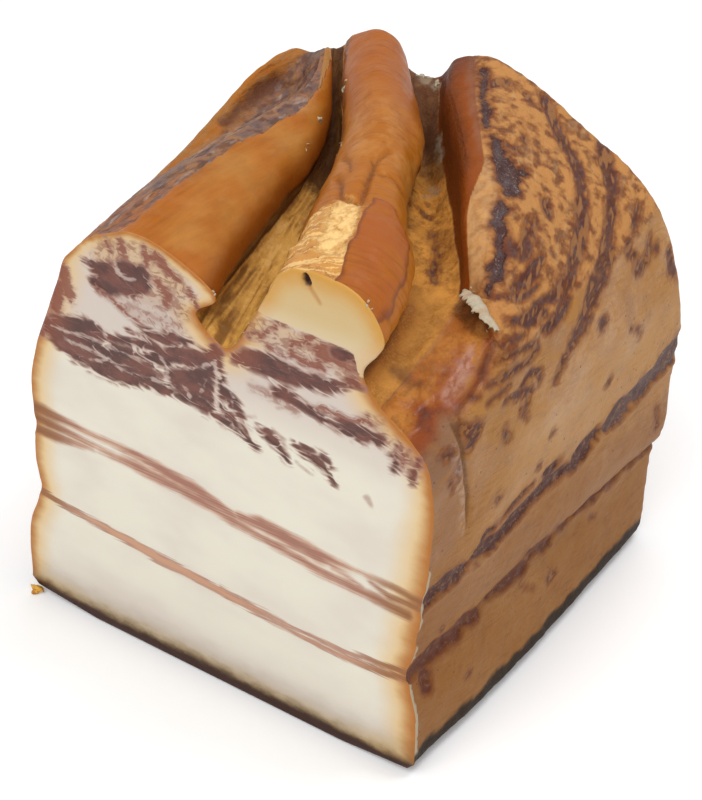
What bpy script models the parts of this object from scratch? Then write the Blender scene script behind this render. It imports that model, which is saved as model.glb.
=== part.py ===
"""Smoked mangalica bacon: one block cut from the belly, with its rind, its layers and a cartilage ridge.

The block is a loft. Named lines run from the knife cut at the front to the smoked end at the back,
and at every depth one smooth closed outline passes through them all.
"""

import math

import bmesh
import bpy
import numpy as np

MM = 0.001
DEPTH = 90.6 * MM                # from the knife cut to the far end
FRONT = -0.5 * DEPTH
BACK = 0.5 * DEPTH
END_ROUND = 3.2 * MM             # rounding of the smoked far end
END_CENTRE_Z = 46.0 * MM         # the far end closes in round this height
END_RINGS = 4
SLICE = 2.3 * MM                 # distance between outlines along the block

# Each line is (y, x, z) in millimetres at a few depths. The lines follow the outline from the left
# corner of the rind along the underside, up the right side, over the top and down the left side.
# The number is how many steps the outline takes to the next line, and "sharp" breaks the curve.
LINES = (
    ("rind left corner", 1, "sharp", ((-45.3, -47.4, 3.4), (45.3, -47.8, 3.4))),
    ("rind left edge", 2, "sharp", ((-45.3, -45.8, 1.7), (45.3, -46.2, 1.7))),
    ("underside left", 3, "sharp", ((-45.3, -30.0, 0.0), (45.3, -30.0, 0.0))),
    ("underside right", 2, "sharp", ((-45.3, 32.0, 0.0), (45.3, 32.0, 0.0))),
    ("rind right edge", 1, "sharp", ((-45.3, 46.6, 1.3), (-20.0, 48.2, 1.1), (45.3, 48.8, 1.1))),
    ("rind right corner", 3, "sharp", ((-45.3, 47.8, 3.0), (-20.0, 49.4, 3.0), (45.3, 49.8, 3.0))),
    ("right lower fat", 3, "smooth", ((-45.3, 47.7, 14.0), (45.3, 49.8, 13.0))),
    ("right lower streak", 2, "smooth", ((-45.3, 45.9, 24.2), (-15.0, 46.9, 24.0), (15.0, 48.8, 25.2),
                                         (45.3, 50.6, 24.6))),
    ("right middle fat", 2, "smooth", ((-45.3, 47.6, 33.0), (0.0, 50.4, 31.5), (45.3, 52.4, 30.0))),
    ("right upper streak", 3, "smooth", ((-45.3, 48.4, 41.0), (0.0, 50.6, 41.0), (45.3, 52.7, 43.0))),
    ("right upper fat", 3, "smooth", ((-45.3, 50.1, 54.0), (0.0, 51.9, 55.0), (45.3, 53.7, 53.5))),
    ("right shoulder", 3, "smooth", ((-45.3, 50.2, 66.0), (-15.0, 51.5, 72.0), (15.0, 52.4, 69.5),
                                     (45.3, 51.9, 65.5))),
    ("flank foot", 3, "smooth", ((-45.3, 49.0, 71.6), (-30.0, 49.8, 77.0), (-15.0, 50.2, 81.0),
                                 (0.0, 49.4, 81.0), (15.0, 48.8, 80.0), (45.3, 45.6, 80.2))),
    ("flank middle", 4, "smooth", ((-45.3, 45.5, 75.6), (-30.0, 46.5, 80.4), (-23.0, 46.6, 83.0),
                                   (-18.5, 46.4, 86.6), (-8.0, 44.8, 88.6), (0.0, 42.4, 91.0),
                                   (15.0, 36.2, 92.6), (45.3, 27.0, 93.0))),
    ("lobe crest", 3, "smooth", ((-45.3, 43.2, 77.3), (-30.0, 44.2, 82.0), (-20.0, 43.4, 85.2),
                                 (-15.5, 41.4, 90.2), (-8.0, 37.0, 93.8), (0.0, 32.0, 97.2),
                                 (15.0, 21.5, 99.6), (30.0, 11.0, 101.0), (45.3, 1.6, 101.4))),
    ("lobe inner edge", 3, "smooth", ((-45.3, 41.2, 78.7), (-30.0, 42.0, 83.1), (-18.5, 40.4, 85.4),
                                      (-14.0, 37.4, 89.6), (-8.0, 32.9, 93.0), (0.0, 28.2, 96.6),
                                      (15.0, 17.4, 98.8), (30.0, 5.2, 100.0), (45.3, -2.8, 99.2))),
    ("lobe wall foot", 3, "smooth", ((-45.3, 39.7, 79.8), (-30.0, 39.6, 83.8), (-15.0, 35.8, 85.2),
                                     (0.0, 25.6, 86.8), (15.0, 14.2, 88.4), (30.0, 2.8, 90.8),
                                     (45.3, -6.8, 95.0))),
    ("valley floor", 3, "smooth", ((-45.3, 38.1, 81.4), (-30.0, 36.2, 84.0), (-15.0, 30.0, 84.6),
                                   (0.0, 20.6, 84.6), (15.0, 10.6, 85.8), (30.0, -0.6, 88.8),
                                   (45.3, -10.4, 94.2))),
    ("ridge right foot", 3, "smooth", ((-45.3, 36.1, 85.2), (-30.0, 32.4, 86.6), (-15.0, 22.8, 87.0),
                                       (0.0, 14.6, 87.4), (15.0, 6.6, 88.6), (30.0, -5.2, 91.2),
                                       (45.3, -14.8, 95.4))),
    ("ridge right side", 3, "smooth", ((-45.3, 40.2, 92.8), (-34.0, 37.2, 94.4), (-25.0, 33.0, 95.2),
                                       (-15.0, 24.6, 95.6), (0.0, 16.2, 95.0), (12.0, 11.0, 95.0),
                                       (26.0, 0.6, 95.6), (45.3, -15.8, 98.2))),
    ("ridge right brow", 3, "smooth", ((-45.3, 36.0, 99.2), (-30.0, 32.6, 99.4), (-15.0, 22.4, 99.8),
                                       (0.0, 14.0, 99.6), (15.0, 5.4, 99.6), (30.0, -6.4, 100.0),
                                       (45.3, -17.6, 100.4))),
    ("ridge crest", 3, "smooth", ((-45.3, 28.0, 101.4), (-27.0, 21.6, 101.8), (-10.0, 13.8, 101.8),
                                  (8.5, 4.2, 101.9), (27.0, -9.4, 101.9), (45.3, -21.4, 101.3))),
    ("ridge left brow", 3, "smooth", ((-45.3, 20.6, 99.6), (-27.0, 13.2, 99.2), (-13.0, 7.6, 99.0),
                                      (0.0, 2.2, 99.0), (15.0, -6.6, 99.2), (30.0, -17.2, 99.4),
                                      (45.3, -25.2, 100.0))),
    ("ridge left side", 3, "smooth", ((-45.3, 16.7, 93.4), (-26.0, 9.8, 94.0), (-12.0, 3.8, 94.0),
                                      (0.0, -1.2, 94.0), (16.0, -10.2, 94.4), (31.0, -20.8, 95.8),
                                      (45.3, -29.0, 97.9))),
    ("ridge left foot", 3, "smooth", ((-45.3, 13.4, 87.2), (-30.0, 9.4, 86.6), (-15.0, 3.8, 85.8),
                                      (0.0, -1.8, 86.0), (15.0, -9.8, 87.6), (30.0, -20.2, 91.4),
                                      (45.3, -30.8, 96.4))),
    ("groove floor", 3, "smooth", ((-45.3, 7.4, 79.8), (-30.0, 3.4, 80.8), (-15.0, -1.0, 81.6),
                                   (0.0, -5.6, 83.0), (15.0, -12.2, 85.6), (30.0, -21.8, 90.2),
                                   (45.3, -32.0, 95.5))),
    ("lip underside", 3, "smooth", ((-45.3, 1.4, 85.0), (-30.0, -2.0, 84.2), (-15.0, -6.0, 84.4),
                                    (0.0, -9.6, 85.2), (15.0, -14.6, 87.0), (30.0, -23.2, 90.6),
                                    (45.3, -33.2, 95.0))),
    ("lip", 3, "smooth", ((-45.3, 5.8, 89.0), (-32.0, 0.4, 88.2), (-21.0, -3.0, 88.2),
                          (-7.5, -6.8, 88.4), (7.6, -10.8, 88.8), (22.4, -17.8, 90.4),
                          (34.6, -25.8, 92.4), (45.3, -34.2, 94.6))),
    ("roll brow", 4, "smooth", ((-45.3, -1.4, 93.9), (-30.0, -5.4, 94.4), (-15.0, -10.0, 94.8),
                                (0.0, -13.4, 95.0), (15.0, -18.0, 94.8), (30.0, -25.8, 94.0),
                                (45.3, -35.2, 94.4))),
    ("roll crest", 4, "smooth", ((-45.3, -10.6, 96.3), (-30.0, -14.4, 97.0), (-15.0, -18.2, 97.2),
                                 (0.0, -20.2, 97.0), (15.0, -22.6, 96.0), (30.0, -27.6, 94.4),
                                 (45.3, -36.2, 94.2))),
    ("roll edge", 3, "smooth", ((-45.3, -20.2, 93.4), (-30.0, -24.4, 93.0), (-15.0, -27.0, 92.8),
                                (0.0, -27.6, 92.8), (15.0, -27.2, 92.4), (30.0, -29.6, 92.2),
                                (45.3, -37.2, 93.8))),
    ("outer hollow", 3, "smooth", ((-45.3, -24.8, 90.2), (-30.0, -30.0, 88.8), (-15.0, -33.0, 88.0),
                                   (0.0, -34.2, 86.6), (15.0, -35.0, 85.8), (30.0, -36.6, 87.6),
                                   (45.3, -38.4, 93.2))),
    ("outer rim", 3, "smooth", ((-45.3, -28.2, 86.6), (-30.0, -34.2, 84.0), (-15.0, -38.2, 82.8),
                                (0.0, -40.2, 84.0), (15.0, -40.8, 87.6), (30.0, -41.2, 92.0),
                                (45.3, -40.8, 92.4))),
    ("left brow", 3, "smooth", ((-45.3, -31.4, 79.4), (-30.0, -38.4, 76.6), (-15.0, -42.6, 76.0),
                                (0.0, -44.4, 77.0), (15.0, -45.0, 80.0), (45.3, -45.2, 82.4))),
    ("left upper fat", 3, "smooth", ((-45.3, -37.2, 67.0), (-30.0, -42.0, 66.0), (-10.0, -45.6, 66.0),
                                     (45.3, -47.2, 66.0))),
    ("left middle fat", 2, "smooth", ((-45.3, -40.9, 54.6), (-25.0, -45.2, 53.0), (5.0, -47.6, 52.0),
                                      (45.3, -48.2, 52.0))),
    ("left upper streak", 2, "smooth", ((-45.3, -41.2, 44.6), (-25.0, -44.6, 43.6), (5.0, -46.8, 42.6),
                                        (45.3, -47.4, 42.0))),
    ("left lower fat", 2, "smooth", ((-45.3, -42.2, 36.6), (-25.0, -45.6, 36.0), (5.0, -47.6, 35.6),
                                     (45.3, -48.0, 35.0))),
    ("left lower streak", 2, "smooth", ((-45.3, -41.6, 29.8), (-25.0, -44.4, 28.8), (5.0, -46.4, 27.6),
                                        (45.3, -47.0, 26.6))),
    ("left rind fat", 3, "smooth", ((-45.3, -46.0, 18.0), (-10.0, -48.0, 17.0), (45.3, -48.6, 16.0))),
)

SMOKED = (0.52, 0.27, 0.11, 1.0)
FAT = (0.86, 0.80, 0.70, 1.0)
RIND = (0.035, 0.025, 0.02, 1.0)
CUT_SIDE = 0.9                   # a face counts as the knife cut when its normal points this far forward
RIND_HEIGHT = 3.6 * MM


def smooth_between(knots, values, wanted):
    """Cubic curve through values at knots, with slopes taken from the neighbouring knots."""
    knots = np.asarray(knots, float)
    values = np.asarray(values, float)
    slopes = np.gradient(values, knots, axis=0)
    i = np.clip(np.searchsorted(knots, wanted, side="right") - 1, 0, len(knots) - 2)
    span = knots[i + 1] - knots[i]
    t = (wanted - knots[i]) / span
    return ((2 * t**3 - 3 * t**2 + 1) * values[i] + (t**3 - 2 * t**2 + t) * span * slopes[i]
            + (3 * t**2 - 2 * t**3) * values[i + 1] + (t**3 - t**2) * span * slopes[i + 1])


def anchors_at(y):
    """The point of every line at depth y, as x and z in metres."""
    points = []
    for _, _, _, stations in LINES:
        table = np.array(stations) * MM
        points.append(smooth_between(table[:, 0], table[:, 1:], y))
    return np.array(points)


def tangent(before, here, after):
    """Slope of the outline at a line, weighted so that a close neighbour counts more."""
    near = max(np.linalg.norm(here - before), MM * 0.1)
    far = max(np.linalg.norm(after - here), MM * 0.1)
    return ((here - before) / near * far + (after - here) / far * near) / (near + far)


def outline_at(y):
    """The closed outline at depth y: a curve through all the lines' points."""
    points = anchors_at(y)
    count = len(points)
    outline = []
    for k, (_, steps, _, _) in enumerate(LINES):
        start, end = points[k], points[(k + 1) % count]
        chord = end - start
        length = np.linalg.norm(chord)
        sharp_start = LINES[k][2] == "sharp"
        sharp_end = LINES[(k + 1) % count][2] == "sharp"
        leave = chord / length if sharp_start else tangent(points[k - 1], start, end)
        reach = chord / length if sharp_end else tangent(start, end, points[(k + 2) % count])
        for step in range(steps):
            t = step / steps
            outline.append((2 * t**3 - 3 * t**2 + 1) * start + (t**3 - 2 * t**2 + t) * length * leave
                           + (3 * t**2 - 2 * t**3) * end + (t**3 - t**2) * length * reach)
    return outline


def rings():
    """Outlines from the knife cut to the far end, the last few closing in as a rounded edge."""
    slices = round((DEPTH - END_ROUND) / SLICE)
    for i in range(slices + 1):
        y = FRONT + (DEPTH - END_ROUND) * i / slices
        yield [(x, y, z) for x, z in outline_at(y)]
    for i in range(1, END_RINGS + 1):
        angle = 0.5 * math.pi * i / END_RINGS
        y = BACK - END_ROUND + END_ROUND * math.sin(angle)
        inset = END_ROUND * (1 - math.cos(angle))
        shrink = 1 - inset / (0.5 * DEPTH)
        yield [(x * shrink, y, END_CENTRE_Z + (z - END_CENTRE_Z) * shrink) for x, z in outline_at(y)]


def finish(name, colour, roughness):
    """One plain material."""
    material = bpy.data.materials.new(name)
    material.use_nodes = True
    shader = material.node_tree.nodes["Principled BSDF"]
    shader.inputs["Base Color"].default_value = colour
    shader.inputs["Roughness"].default_value = roughness
    shader.inputs["Metallic"].default_value = 0.0
    return material


def paint(mesh):
    """Give the knife cut, the rind and the smoked skin their own finishes."""
    mesh.materials.append(finish("smoked_skin", SMOKED, 0.42))
    mesh.materials.append(finish("cut_fat", FAT, 0.38))
    mesh.materials.append(finish("rind", RIND, 0.6))
    for face in mesh.polygons:
        if face.normal.y < -CUT_SIDE:
            face.material_index = 1
        elif face.center.z < RIND_HEIGHT:
            face.material_index = 2


def bacon():
    """The whole block as one closed solid."""
    mesh = bmesh.new()
    loops = []
    for ring in rings():
        verts = [mesh.verts.new(point) for point in ring]
        loops.append([mesh.edges.new((a, b)) for a, b in zip(verts, verts[1:] + verts[:1])])
    for near, far in zip(loops, loops[1:]):
        bmesh.ops.bridge_loops(mesh, edges=near + far)
    for loop in (loops[0], loops[-1]):
        bmesh.ops.contextual_create(mesh, geom=loop)
    bmesh.ops.recalc_face_normals(mesh, faces=mesh.faces)
    bmesh.ops.triangulate(mesh, faces=mesh.faces)
    data = bpy.data.meshes.new("bacon")
    mesh.to_mesh(data)
    mesh.free()
    paint(data)
    data.shade_smooth()
    data.set_sharp_from_angle(angle=math.radians(50))
    block = bpy.data.objects.new("bacon", data)
    bpy.context.collection.objects.link(block)


def main():
    for item in list(bpy.data.objects):
        bpy.data.objects.remove(item, do_unlink=True)
    bacon()


main()
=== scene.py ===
"""Smoked mangalica bacon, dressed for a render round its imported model.

The block is lofted again at a fine step, with the relief of its smoked skin and of its knife cut. The layers
of lean are strands across the cut, given in millimetres, and the zones of the skin follow the block's lines.
"""
import math

import bmesh
import bpy
import numpy as np
from mathutils import Euler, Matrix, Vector
from mathutils.geometry import delaunay_2d_cdt


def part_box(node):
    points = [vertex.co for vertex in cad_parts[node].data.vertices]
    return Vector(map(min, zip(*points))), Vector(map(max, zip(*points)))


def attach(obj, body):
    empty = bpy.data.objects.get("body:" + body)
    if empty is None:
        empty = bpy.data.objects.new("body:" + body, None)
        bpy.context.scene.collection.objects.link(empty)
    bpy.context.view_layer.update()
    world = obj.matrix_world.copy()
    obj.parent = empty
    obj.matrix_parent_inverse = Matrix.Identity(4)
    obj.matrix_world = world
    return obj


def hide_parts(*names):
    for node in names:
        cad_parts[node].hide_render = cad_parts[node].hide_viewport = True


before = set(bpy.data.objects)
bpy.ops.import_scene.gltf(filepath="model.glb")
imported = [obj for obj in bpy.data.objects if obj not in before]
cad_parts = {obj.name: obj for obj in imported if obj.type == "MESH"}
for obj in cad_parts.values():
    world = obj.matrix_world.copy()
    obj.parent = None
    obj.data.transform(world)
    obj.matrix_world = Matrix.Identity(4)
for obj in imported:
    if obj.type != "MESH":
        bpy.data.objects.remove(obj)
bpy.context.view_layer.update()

bl_info = {
    "name": "Smoked Bacon Block",
    "version": (1, 0, 0),
    "blender": (4, 5, 0),
    "location": "3D View > Sidebar > Bacon",
    "description": "Builds a block of smoked bacon with its marbled cut, and a stage for it",
    "category": "Add Mesh",
}

MM = 0.001
NODE_LOW, NODE_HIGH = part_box("bacon")
FRONT = NODE_LOW.y / MM          # the knife cut
BACK = NODE_HIGH.y / MM          # the smoked far end
END_ROUND = 3.2                  # rounding of the far end
END_CENTRE_Z = 46.0              # the far end closes in round this height
END_RINGS = 6
EVEN_SHARE = 0.62                # 1 spaces the rings evenly, and less crowds them towards the cut
RIND_TOP = 3.4                   # height of the rind's corner
RIND_RELIEF = 0.25               # the most that the rind and the underside stand out
OUTSIDE = -9.0                   # stands for well outside a strand or a zone
RAY_START = 0.2                  # rays come down on the block from this height, in metres
CUT_SLOT, SKIN_SLOT, RIND_SLOT = range(3)   # the block's materials

# Each line is (y, x, z) in millimetres at a few depths. The lines follow the outline from the left
# corner of the rind along the underside, up the right side, over the top and down the left side.
LINES = (
    ("rind left corner", "sharp", ((-45.3, -47.4, 3.4), (45.3, -47.8, 3.4))),
    ("rind left edge", "sharp", ((-45.3, -45.8, 1.7), (45.3, -46.2, 1.7))),
    ("underside left", "sharp", ((-45.3, -30, 0), (45.3, -30, 0))),
    ("underside right", "sharp", ((-45.3, 32, 0), (45.3, 32, 0))),
    ("rind right edge", "sharp", ((-45.3, 46.6, 1.3), (-20, 48.2, 1.1), (45.3, 48.8, 1.1))),
    ("rind right corner", "sharp", ((-45.3, 47.8, 3), (-20, 49.4, 3), (45.3, 49.8, 3))),
    ("right lower fat", "smooth", ((-45.3, 47.7, 14), (45.3, 49.8, 13))),
    ("right lower streak", "smooth", ((-45.3, 45.9, 24.2), (-15, 46.9, 24), (15, 48.8, 25.2),
     (45.3, 50.6, 24.6))),
    ("right middle fat", "smooth", ((-45.3, 47.6, 33), (0, 50.4, 31.5), (45.3, 52.4, 30))),
    ("right upper streak", "smooth", ((-45.3, 48.4, 41), (0, 50.6, 41), (45.3, 52.7, 43))),
    ("right upper fat", "smooth", ((-45.3, 50.1, 54), (0, 51.9, 55), (45.3, 53.7, 53.5))),
    ("right shoulder", "smooth", ((-45.3, 50.2, 66), (-15, 51.5, 72), (15, 52.4, 69.5),
     (45.3, 51.9, 65.5))),
    ("flank foot", "smooth", ((-45.3, 49, 71.6), (-30, 49.8, 77), (-15, 50.2, 81), (0, 49.4, 81),
     (15, 48.8, 80), (45.3, 45.6, 80.2))),
    ("flank middle", "smooth", ((-45.3, 45.5, 75.6), (-30, 46.5, 80.4), (-23, 46.6, 83),
     (-18.5, 46.4, 86.6), (-8, 44.8, 88.6), (0, 42.4, 91), (15, 36.2, 92.6), (45.3, 27, 93))),
    ("lobe crest", "smooth", ((-45.3, 43.2, 77.3), (-30, 44.2, 82), (-20, 43.4, 85.2), (-15.5, 41.4, 90.2),
     (-8, 37, 93.8), (0, 32, 97.2), (15, 21.5, 99.6), (30, 11, 101), (45.3, 1.6, 101.4))),
    ("lobe inner edge", "smooth", ((-45.3, 41.2, 78.7), (-30, 42, 83.1), (-18.5, 40.4, 85.4),
     (-14, 37.4, 89.6), (-8, 32.9, 93), (0, 28.2, 96.6), (15, 17.4, 98.8), (30, 5.2, 100),
     (45.3, -2.8, 99.2))),
    ("lobe wall foot", "smooth", ((-45.3, 39.7, 79.8), (-30, 39.6, 83.8), (-15, 35.8, 85.2),
     (0, 25.6, 86.8), (15, 14.2, 88.4), (30, 2.8, 90.8), (45.3, -6.8, 95))),
    ("valley floor", "smooth", ((-45.3, 38.1, 81.4), (-30, 36.2, 84), (-15, 30, 84.6), (0, 20.6, 84.6),
     (15, 10.6, 85.8), (30, -0.6, 88.8), (45.3, -10.4, 94.2))),
    ("ridge right foot", "smooth", ((-45.3, 36.1, 85.2), (-30, 32.4, 86.6), (-15, 22.8, 87),
     (0, 14.6, 87.4), (15, 6.6, 88.6), (30, -5.2, 91.2), (45.3, -14.8, 95.4))),
    ("ridge right side", "smooth", ((-45.3, 40.2, 92.8), (-34, 37.2, 94.4), (-25, 33, 95.2),
     (-15, 24.6, 95.6), (0, 16.2, 95), (12, 11, 95), (26, 0.6, 95.6), (45.3, -15.8, 98.2))),
    ("ridge right brow", "smooth", ((-45.3, 36, 99.2), (-30, 32.6, 99.4), (-15, 22.4, 99.8), (0, 14, 99.6),
     (15, 5.4, 99.6), (30, -6.4, 100), (45.3, -17.6, 100.4))),
    ("ridge crest", "smooth", ((-45.3, 28, 101.4), (-27, 21.6, 101.8), (-10, 13.8, 101.8),
     (8.5, 4.2, 101.9), (27, -9.4, 101.9), (45.3, -21.4, 101.3))),
    ("ridge left brow", "smooth", ((-45.3, 20.6, 99.6), (-27, 13.2, 99.2), (-13, 7.6, 99), (0, 2.2, 99),
     (15, -6.6, 99.2), (30, -17.2, 99.4), (45.3, -25.2, 100))),
    ("ridge left side", "smooth", ((-45.3, 16.7, 93.4), (-26, 9.8, 94), (-12, 3.8, 94), (0, -1.2, 94),
     (16, -10.2, 94.4), (31, -20.8, 95.8), (45.3, -29, 97.9))),
    ("ridge left foot", "smooth", ((-45.3, 13.4, 87.2), (-30, 9.4, 86.6), (-15, 3.8, 85.8), (0, -1.8, 86),
     (15, -9.8, 87.6), (30, -20.2, 91.4), (45.3, -30.8, 96.4))),
    ("groove floor", "smooth", ((-45.3, 7.4, 79.8), (-30, 3.4, 80.8), (-15, -1, 81.6), (0, -5.6, 83),
     (15, -12.2, 85.6), (30, -21.8, 90.2), (45.3, -32, 95.5))),
    ("lip underside", "smooth", ((-45.3, 1.4, 85), (-30, -2, 84.2), (-15, -6, 84.4), (0, -9.6, 85.2),
     (15, -14.6, 87), (30, -23.2, 90.6), (45.3, -33.2, 95))),
    ("lip", "smooth", ((-45.3, 5.8, 89), (-32, 0.4, 88.2), (-21, -3, 88.2), (-7.5, -6.8, 88.4),
     (7.6, -10.8, 88.8), (22.4, -17.8, 90.4), (34.6, -25.8, 92.4), (45.3, -34.2, 94.6))),
    ("roll brow", "smooth", ((-45.3, -1.4, 93.9), (-30, -5.4, 94.4), (-15, -10, 94.8), (0, -13.4, 95),
     (15, -18, 94.8), (30, -25.8, 94), (45.3, -35.2, 94.4))),
    ("roll crest", "smooth", ((-45.3, -10.6, 96.3), (-30, -14.4, 97), (-15, -18.2, 97.2), (0, -20.2, 97),
     (15, -22.6, 96), (30, -27.6, 94.4), (45.3, -36.2, 94.2))),
    ("roll edge", "smooth", ((-45.3, -20.2, 93.4), (-30, -24.4, 93), (-15, -27, 92.8), (0, -27.6, 92.8),
     (15, -27.2, 92.4), (30, -29.6, 92.2), (45.3, -37.2, 93.8))),
    ("outer hollow", "smooth", ((-45.3, -24.8, 90.2), (-30, -30, 88.8), (-15, -33, 88), (0, -34.2, 86.6),
     (15, -35, 85.8), (30, -36.6, 87.6), (45.3, -38.4, 93.2))),
    ("outer rim", "smooth", ((-45.3, -28.2, 86.6), (-30, -34.2, 84), (-15, -38.2, 82.8), (0, -40.2, 84),
     (15, -40.8, 87.6), (30, -41.2, 92), (45.3, -40.8, 92.4))),
    ("left brow", "smooth", ((-45.3, -31.4, 79.4), (-30, -38.4, 76.6), (-15, -42.6, 76), (0, -44.4, 77),
     (15, -45, 80), (45.3, -45.2, 82.4))),
    ("left upper fat", "smooth", ((-45.3, -37.2, 67), (-30, -42, 66), (-10, -45.6, 66), (45.3, -47.2, 66))),
    ("left middle fat", "smooth", ((-45.3, -40.9, 54.6), (-25, -45.2, 53), (5, -47.6, 52),
     (45.3, -48.2, 52))),
    ("left upper streak", "smooth", ((-45.3, -41.2, 44.6), (-25, -44.6, 43.6), (5, -46.8, 42.6),
     (45.3, -47.4, 42))),
    ("left lower fat", "smooth", ((-45.3, -42.2, 36.6), (-25, -45.6, 36), (5, -47.6, 35.6),
     (45.3, -48, 35))),
    ("left lower streak", "smooth", ((-45.3, -41.6, 29.8), (-25, -44.4, 28.8), (5, -46.4, 27.6),
     (45.3, -47, 26.6))),
    ("left rind fat", "smooth", ((-45.3, -46, 18), (-10, -48, 17), (45.3, -48.6, 16))),
)
NUMBER = {name: number for number, (name, _, _) in enumerate(LINES)}

# Strands of lean on the knife cut. Each is a chain of (x, z, half width) in millimetres.
DARK_LEAN = (
    ((-21.5, 83.5, 1), (-19, 84.2, 2.2), (-16.5, 85.6, 2.4), (-13, 85, 1.9), (-10.5, 86.4, 1.4),
     (-9.5, 87.6, 0.9)),
    ((-14.8, 88.6, 1.2), (-12.4, 88, 1.9), (-10, 89.2, 1.2), (-8.8, 89.6, 0.5)),
    ((-23.5, 87.2, 0.5), (-21.5, 86.6, 1), (-19, 87, 1.4), (-17.6, 88, 0.8)),
    ((-35, 70, 0.8), (-31.6, 71.4, 1.5), (-28, 72.2, 1.8), (-25, 72.7, 1.8), (-22.5, 72.4, 1.7),
     (-20.8, 71.8, 0.9)),
    ((-35.4, 69, 0.8), (-31, 69, 1.2), (-27, 69.2, 1), (-22.5, 69.4, 1), (-20.5, 69.3, 0.6)),
    ((-35, 68.2, 0.8), (-32.5, 67.2, 1.7), (-29, 66, 1.8), (-25, 65.7, 2.2), (-20, 65.4, 2.2),
     (-16, 65.6, 2), (-12.6, 65.8, 1.5), (-9, 66.4, 1.4), (-6.4, 65.8, 0.8)),
    ((-21, 68.6, 1), (-17, 69, 1.6), (-13.5, 68.6, 1.8), (-10, 68.6, 1.5), (-7.8, 68.4, 0.8)),
    ((-19.6, 72.6, 0.7), (-16, 72.8, 0.6), (-13, 73.6, 1), (-9, 74.4, 0.8), (-5, 75.2, 0.6),
     (-3, 76.4, 0.4)),
    ((-19, 70.8, 0.5), (-15, 71, 0.9), (-12, 70.4, 0.8)),
    ((-10.5, 71.6, 1), (-8, 72.2, 1.4), (-5, 73.6, 1.4), (-1, 74.8, 1.6), (3, 76.4, 1.6), (5, 77.6, 1.4),
     (6, 78.6, 0.8), (5, 79.6, 0.5)),
    ((-15, 75.4, 0.3), (-12, 75.8, 0.4), (-9, 76.2, 0.6), (-5, 77, 1), (-2, 78, 0.7), (0, 78.6, 0.3)),
    ((-11.5, 77.2, 0.4), (-8, 77.4, 0.6), (-4, 78.2, 0.7)),
    ((-5.6, 69.8, 0.7), (-3.4, 69.8, 1.8), (-0.6, 70.4, 2.6), (2.2, 71.4, 2.8), (3.6, 73.4, 1.7),
     (4.6, 75, 0.7)),
    ((-4.6, 67.6, 1.3), (0, 68.2, 2.2), (3, 68.4, 2), (3.8, 66.8, 1)),
    ((-5.2, 66.4, 0.7), (-2.6, 66.4, 1.1), (1.4, 66, 1.2), (3.4, 65, 0.8)),
    ((31, 87.6, 0.8), (33.6, 87.9, 1), (34.6, 86.6, 0.5)),
    ((5.6, 79, 0.35), (6.2, 76, 0.45), (6.6, 73.4, 0.5), (6, 72, 0.4), (6.8, 70, 0.9), (8.2, 68.6, 0.8)),
    ((6.8, 70.4, 1.2), (8.4, 69.6, 1.3), (10, 68, 0.8), (10.8, 66.6, 0.4)),
    ((6, 67.2, 0.8), (8, 65.4, 1), (9.6, 63.8, 0.6), (12, 62.4, 0.4), (13.8, 61.8, 0.3)),
    ((8.6, 68, 0.4), (10.4, 66, 0.4), (12, 64, 0.3)),
    ((3, 65.4, 0.8), (5.4, 64.4, 0.6), (8, 64, 0.4)),
    ((14.4, 66, 0.5), (16, 65.6, 1), (18, 64.4, 1.1), (19, 63, 0.6), (20.6, 61.4, 0.3)),
    ((22, 65.4, 0.4), (24, 65, 0.8), (26.6, 64.2, 1.2), (28.4, 63, 1), (29.8, 61.6, 0.5),
     (30.2, 60.8, 0.3)),
    ((24, 65.8, 0.4), (28, 65.4, 0.5), (29.8, 64.2, 0.4)),
    ((10, 78.8, 0.9), (13, 79.6, 1.9), (17, 80, 2.4), (21, 80, 2.1), (25, 80.1, 1.6), (28, 80.4, 1.4),
     (31, 81.2, 0.8), (34.4, 83.4, 0.8), (36, 82.8, 0.3)),
    ((18.6, 75.4, 0.9), (20.4, 75.6, 1.2), (23, 74.6, 1), (26, 74, 0.7), (29, 73.4, 0.6), (31, 73.2, 1),
     (34, 73.4, 1.5), (37, 73.4, 1.5), (39, 73.4, 1), (40.4, 73.8, 0.6)),
    ((42.6, 69.6, 1), (42.8, 72, 0.6), (43, 74.4, 0.3)),
    ((46.2, 67.8, 0.4), (46.6, 70.4, 0.5), (47.6, 72.6, 0.3)),
)
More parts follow.
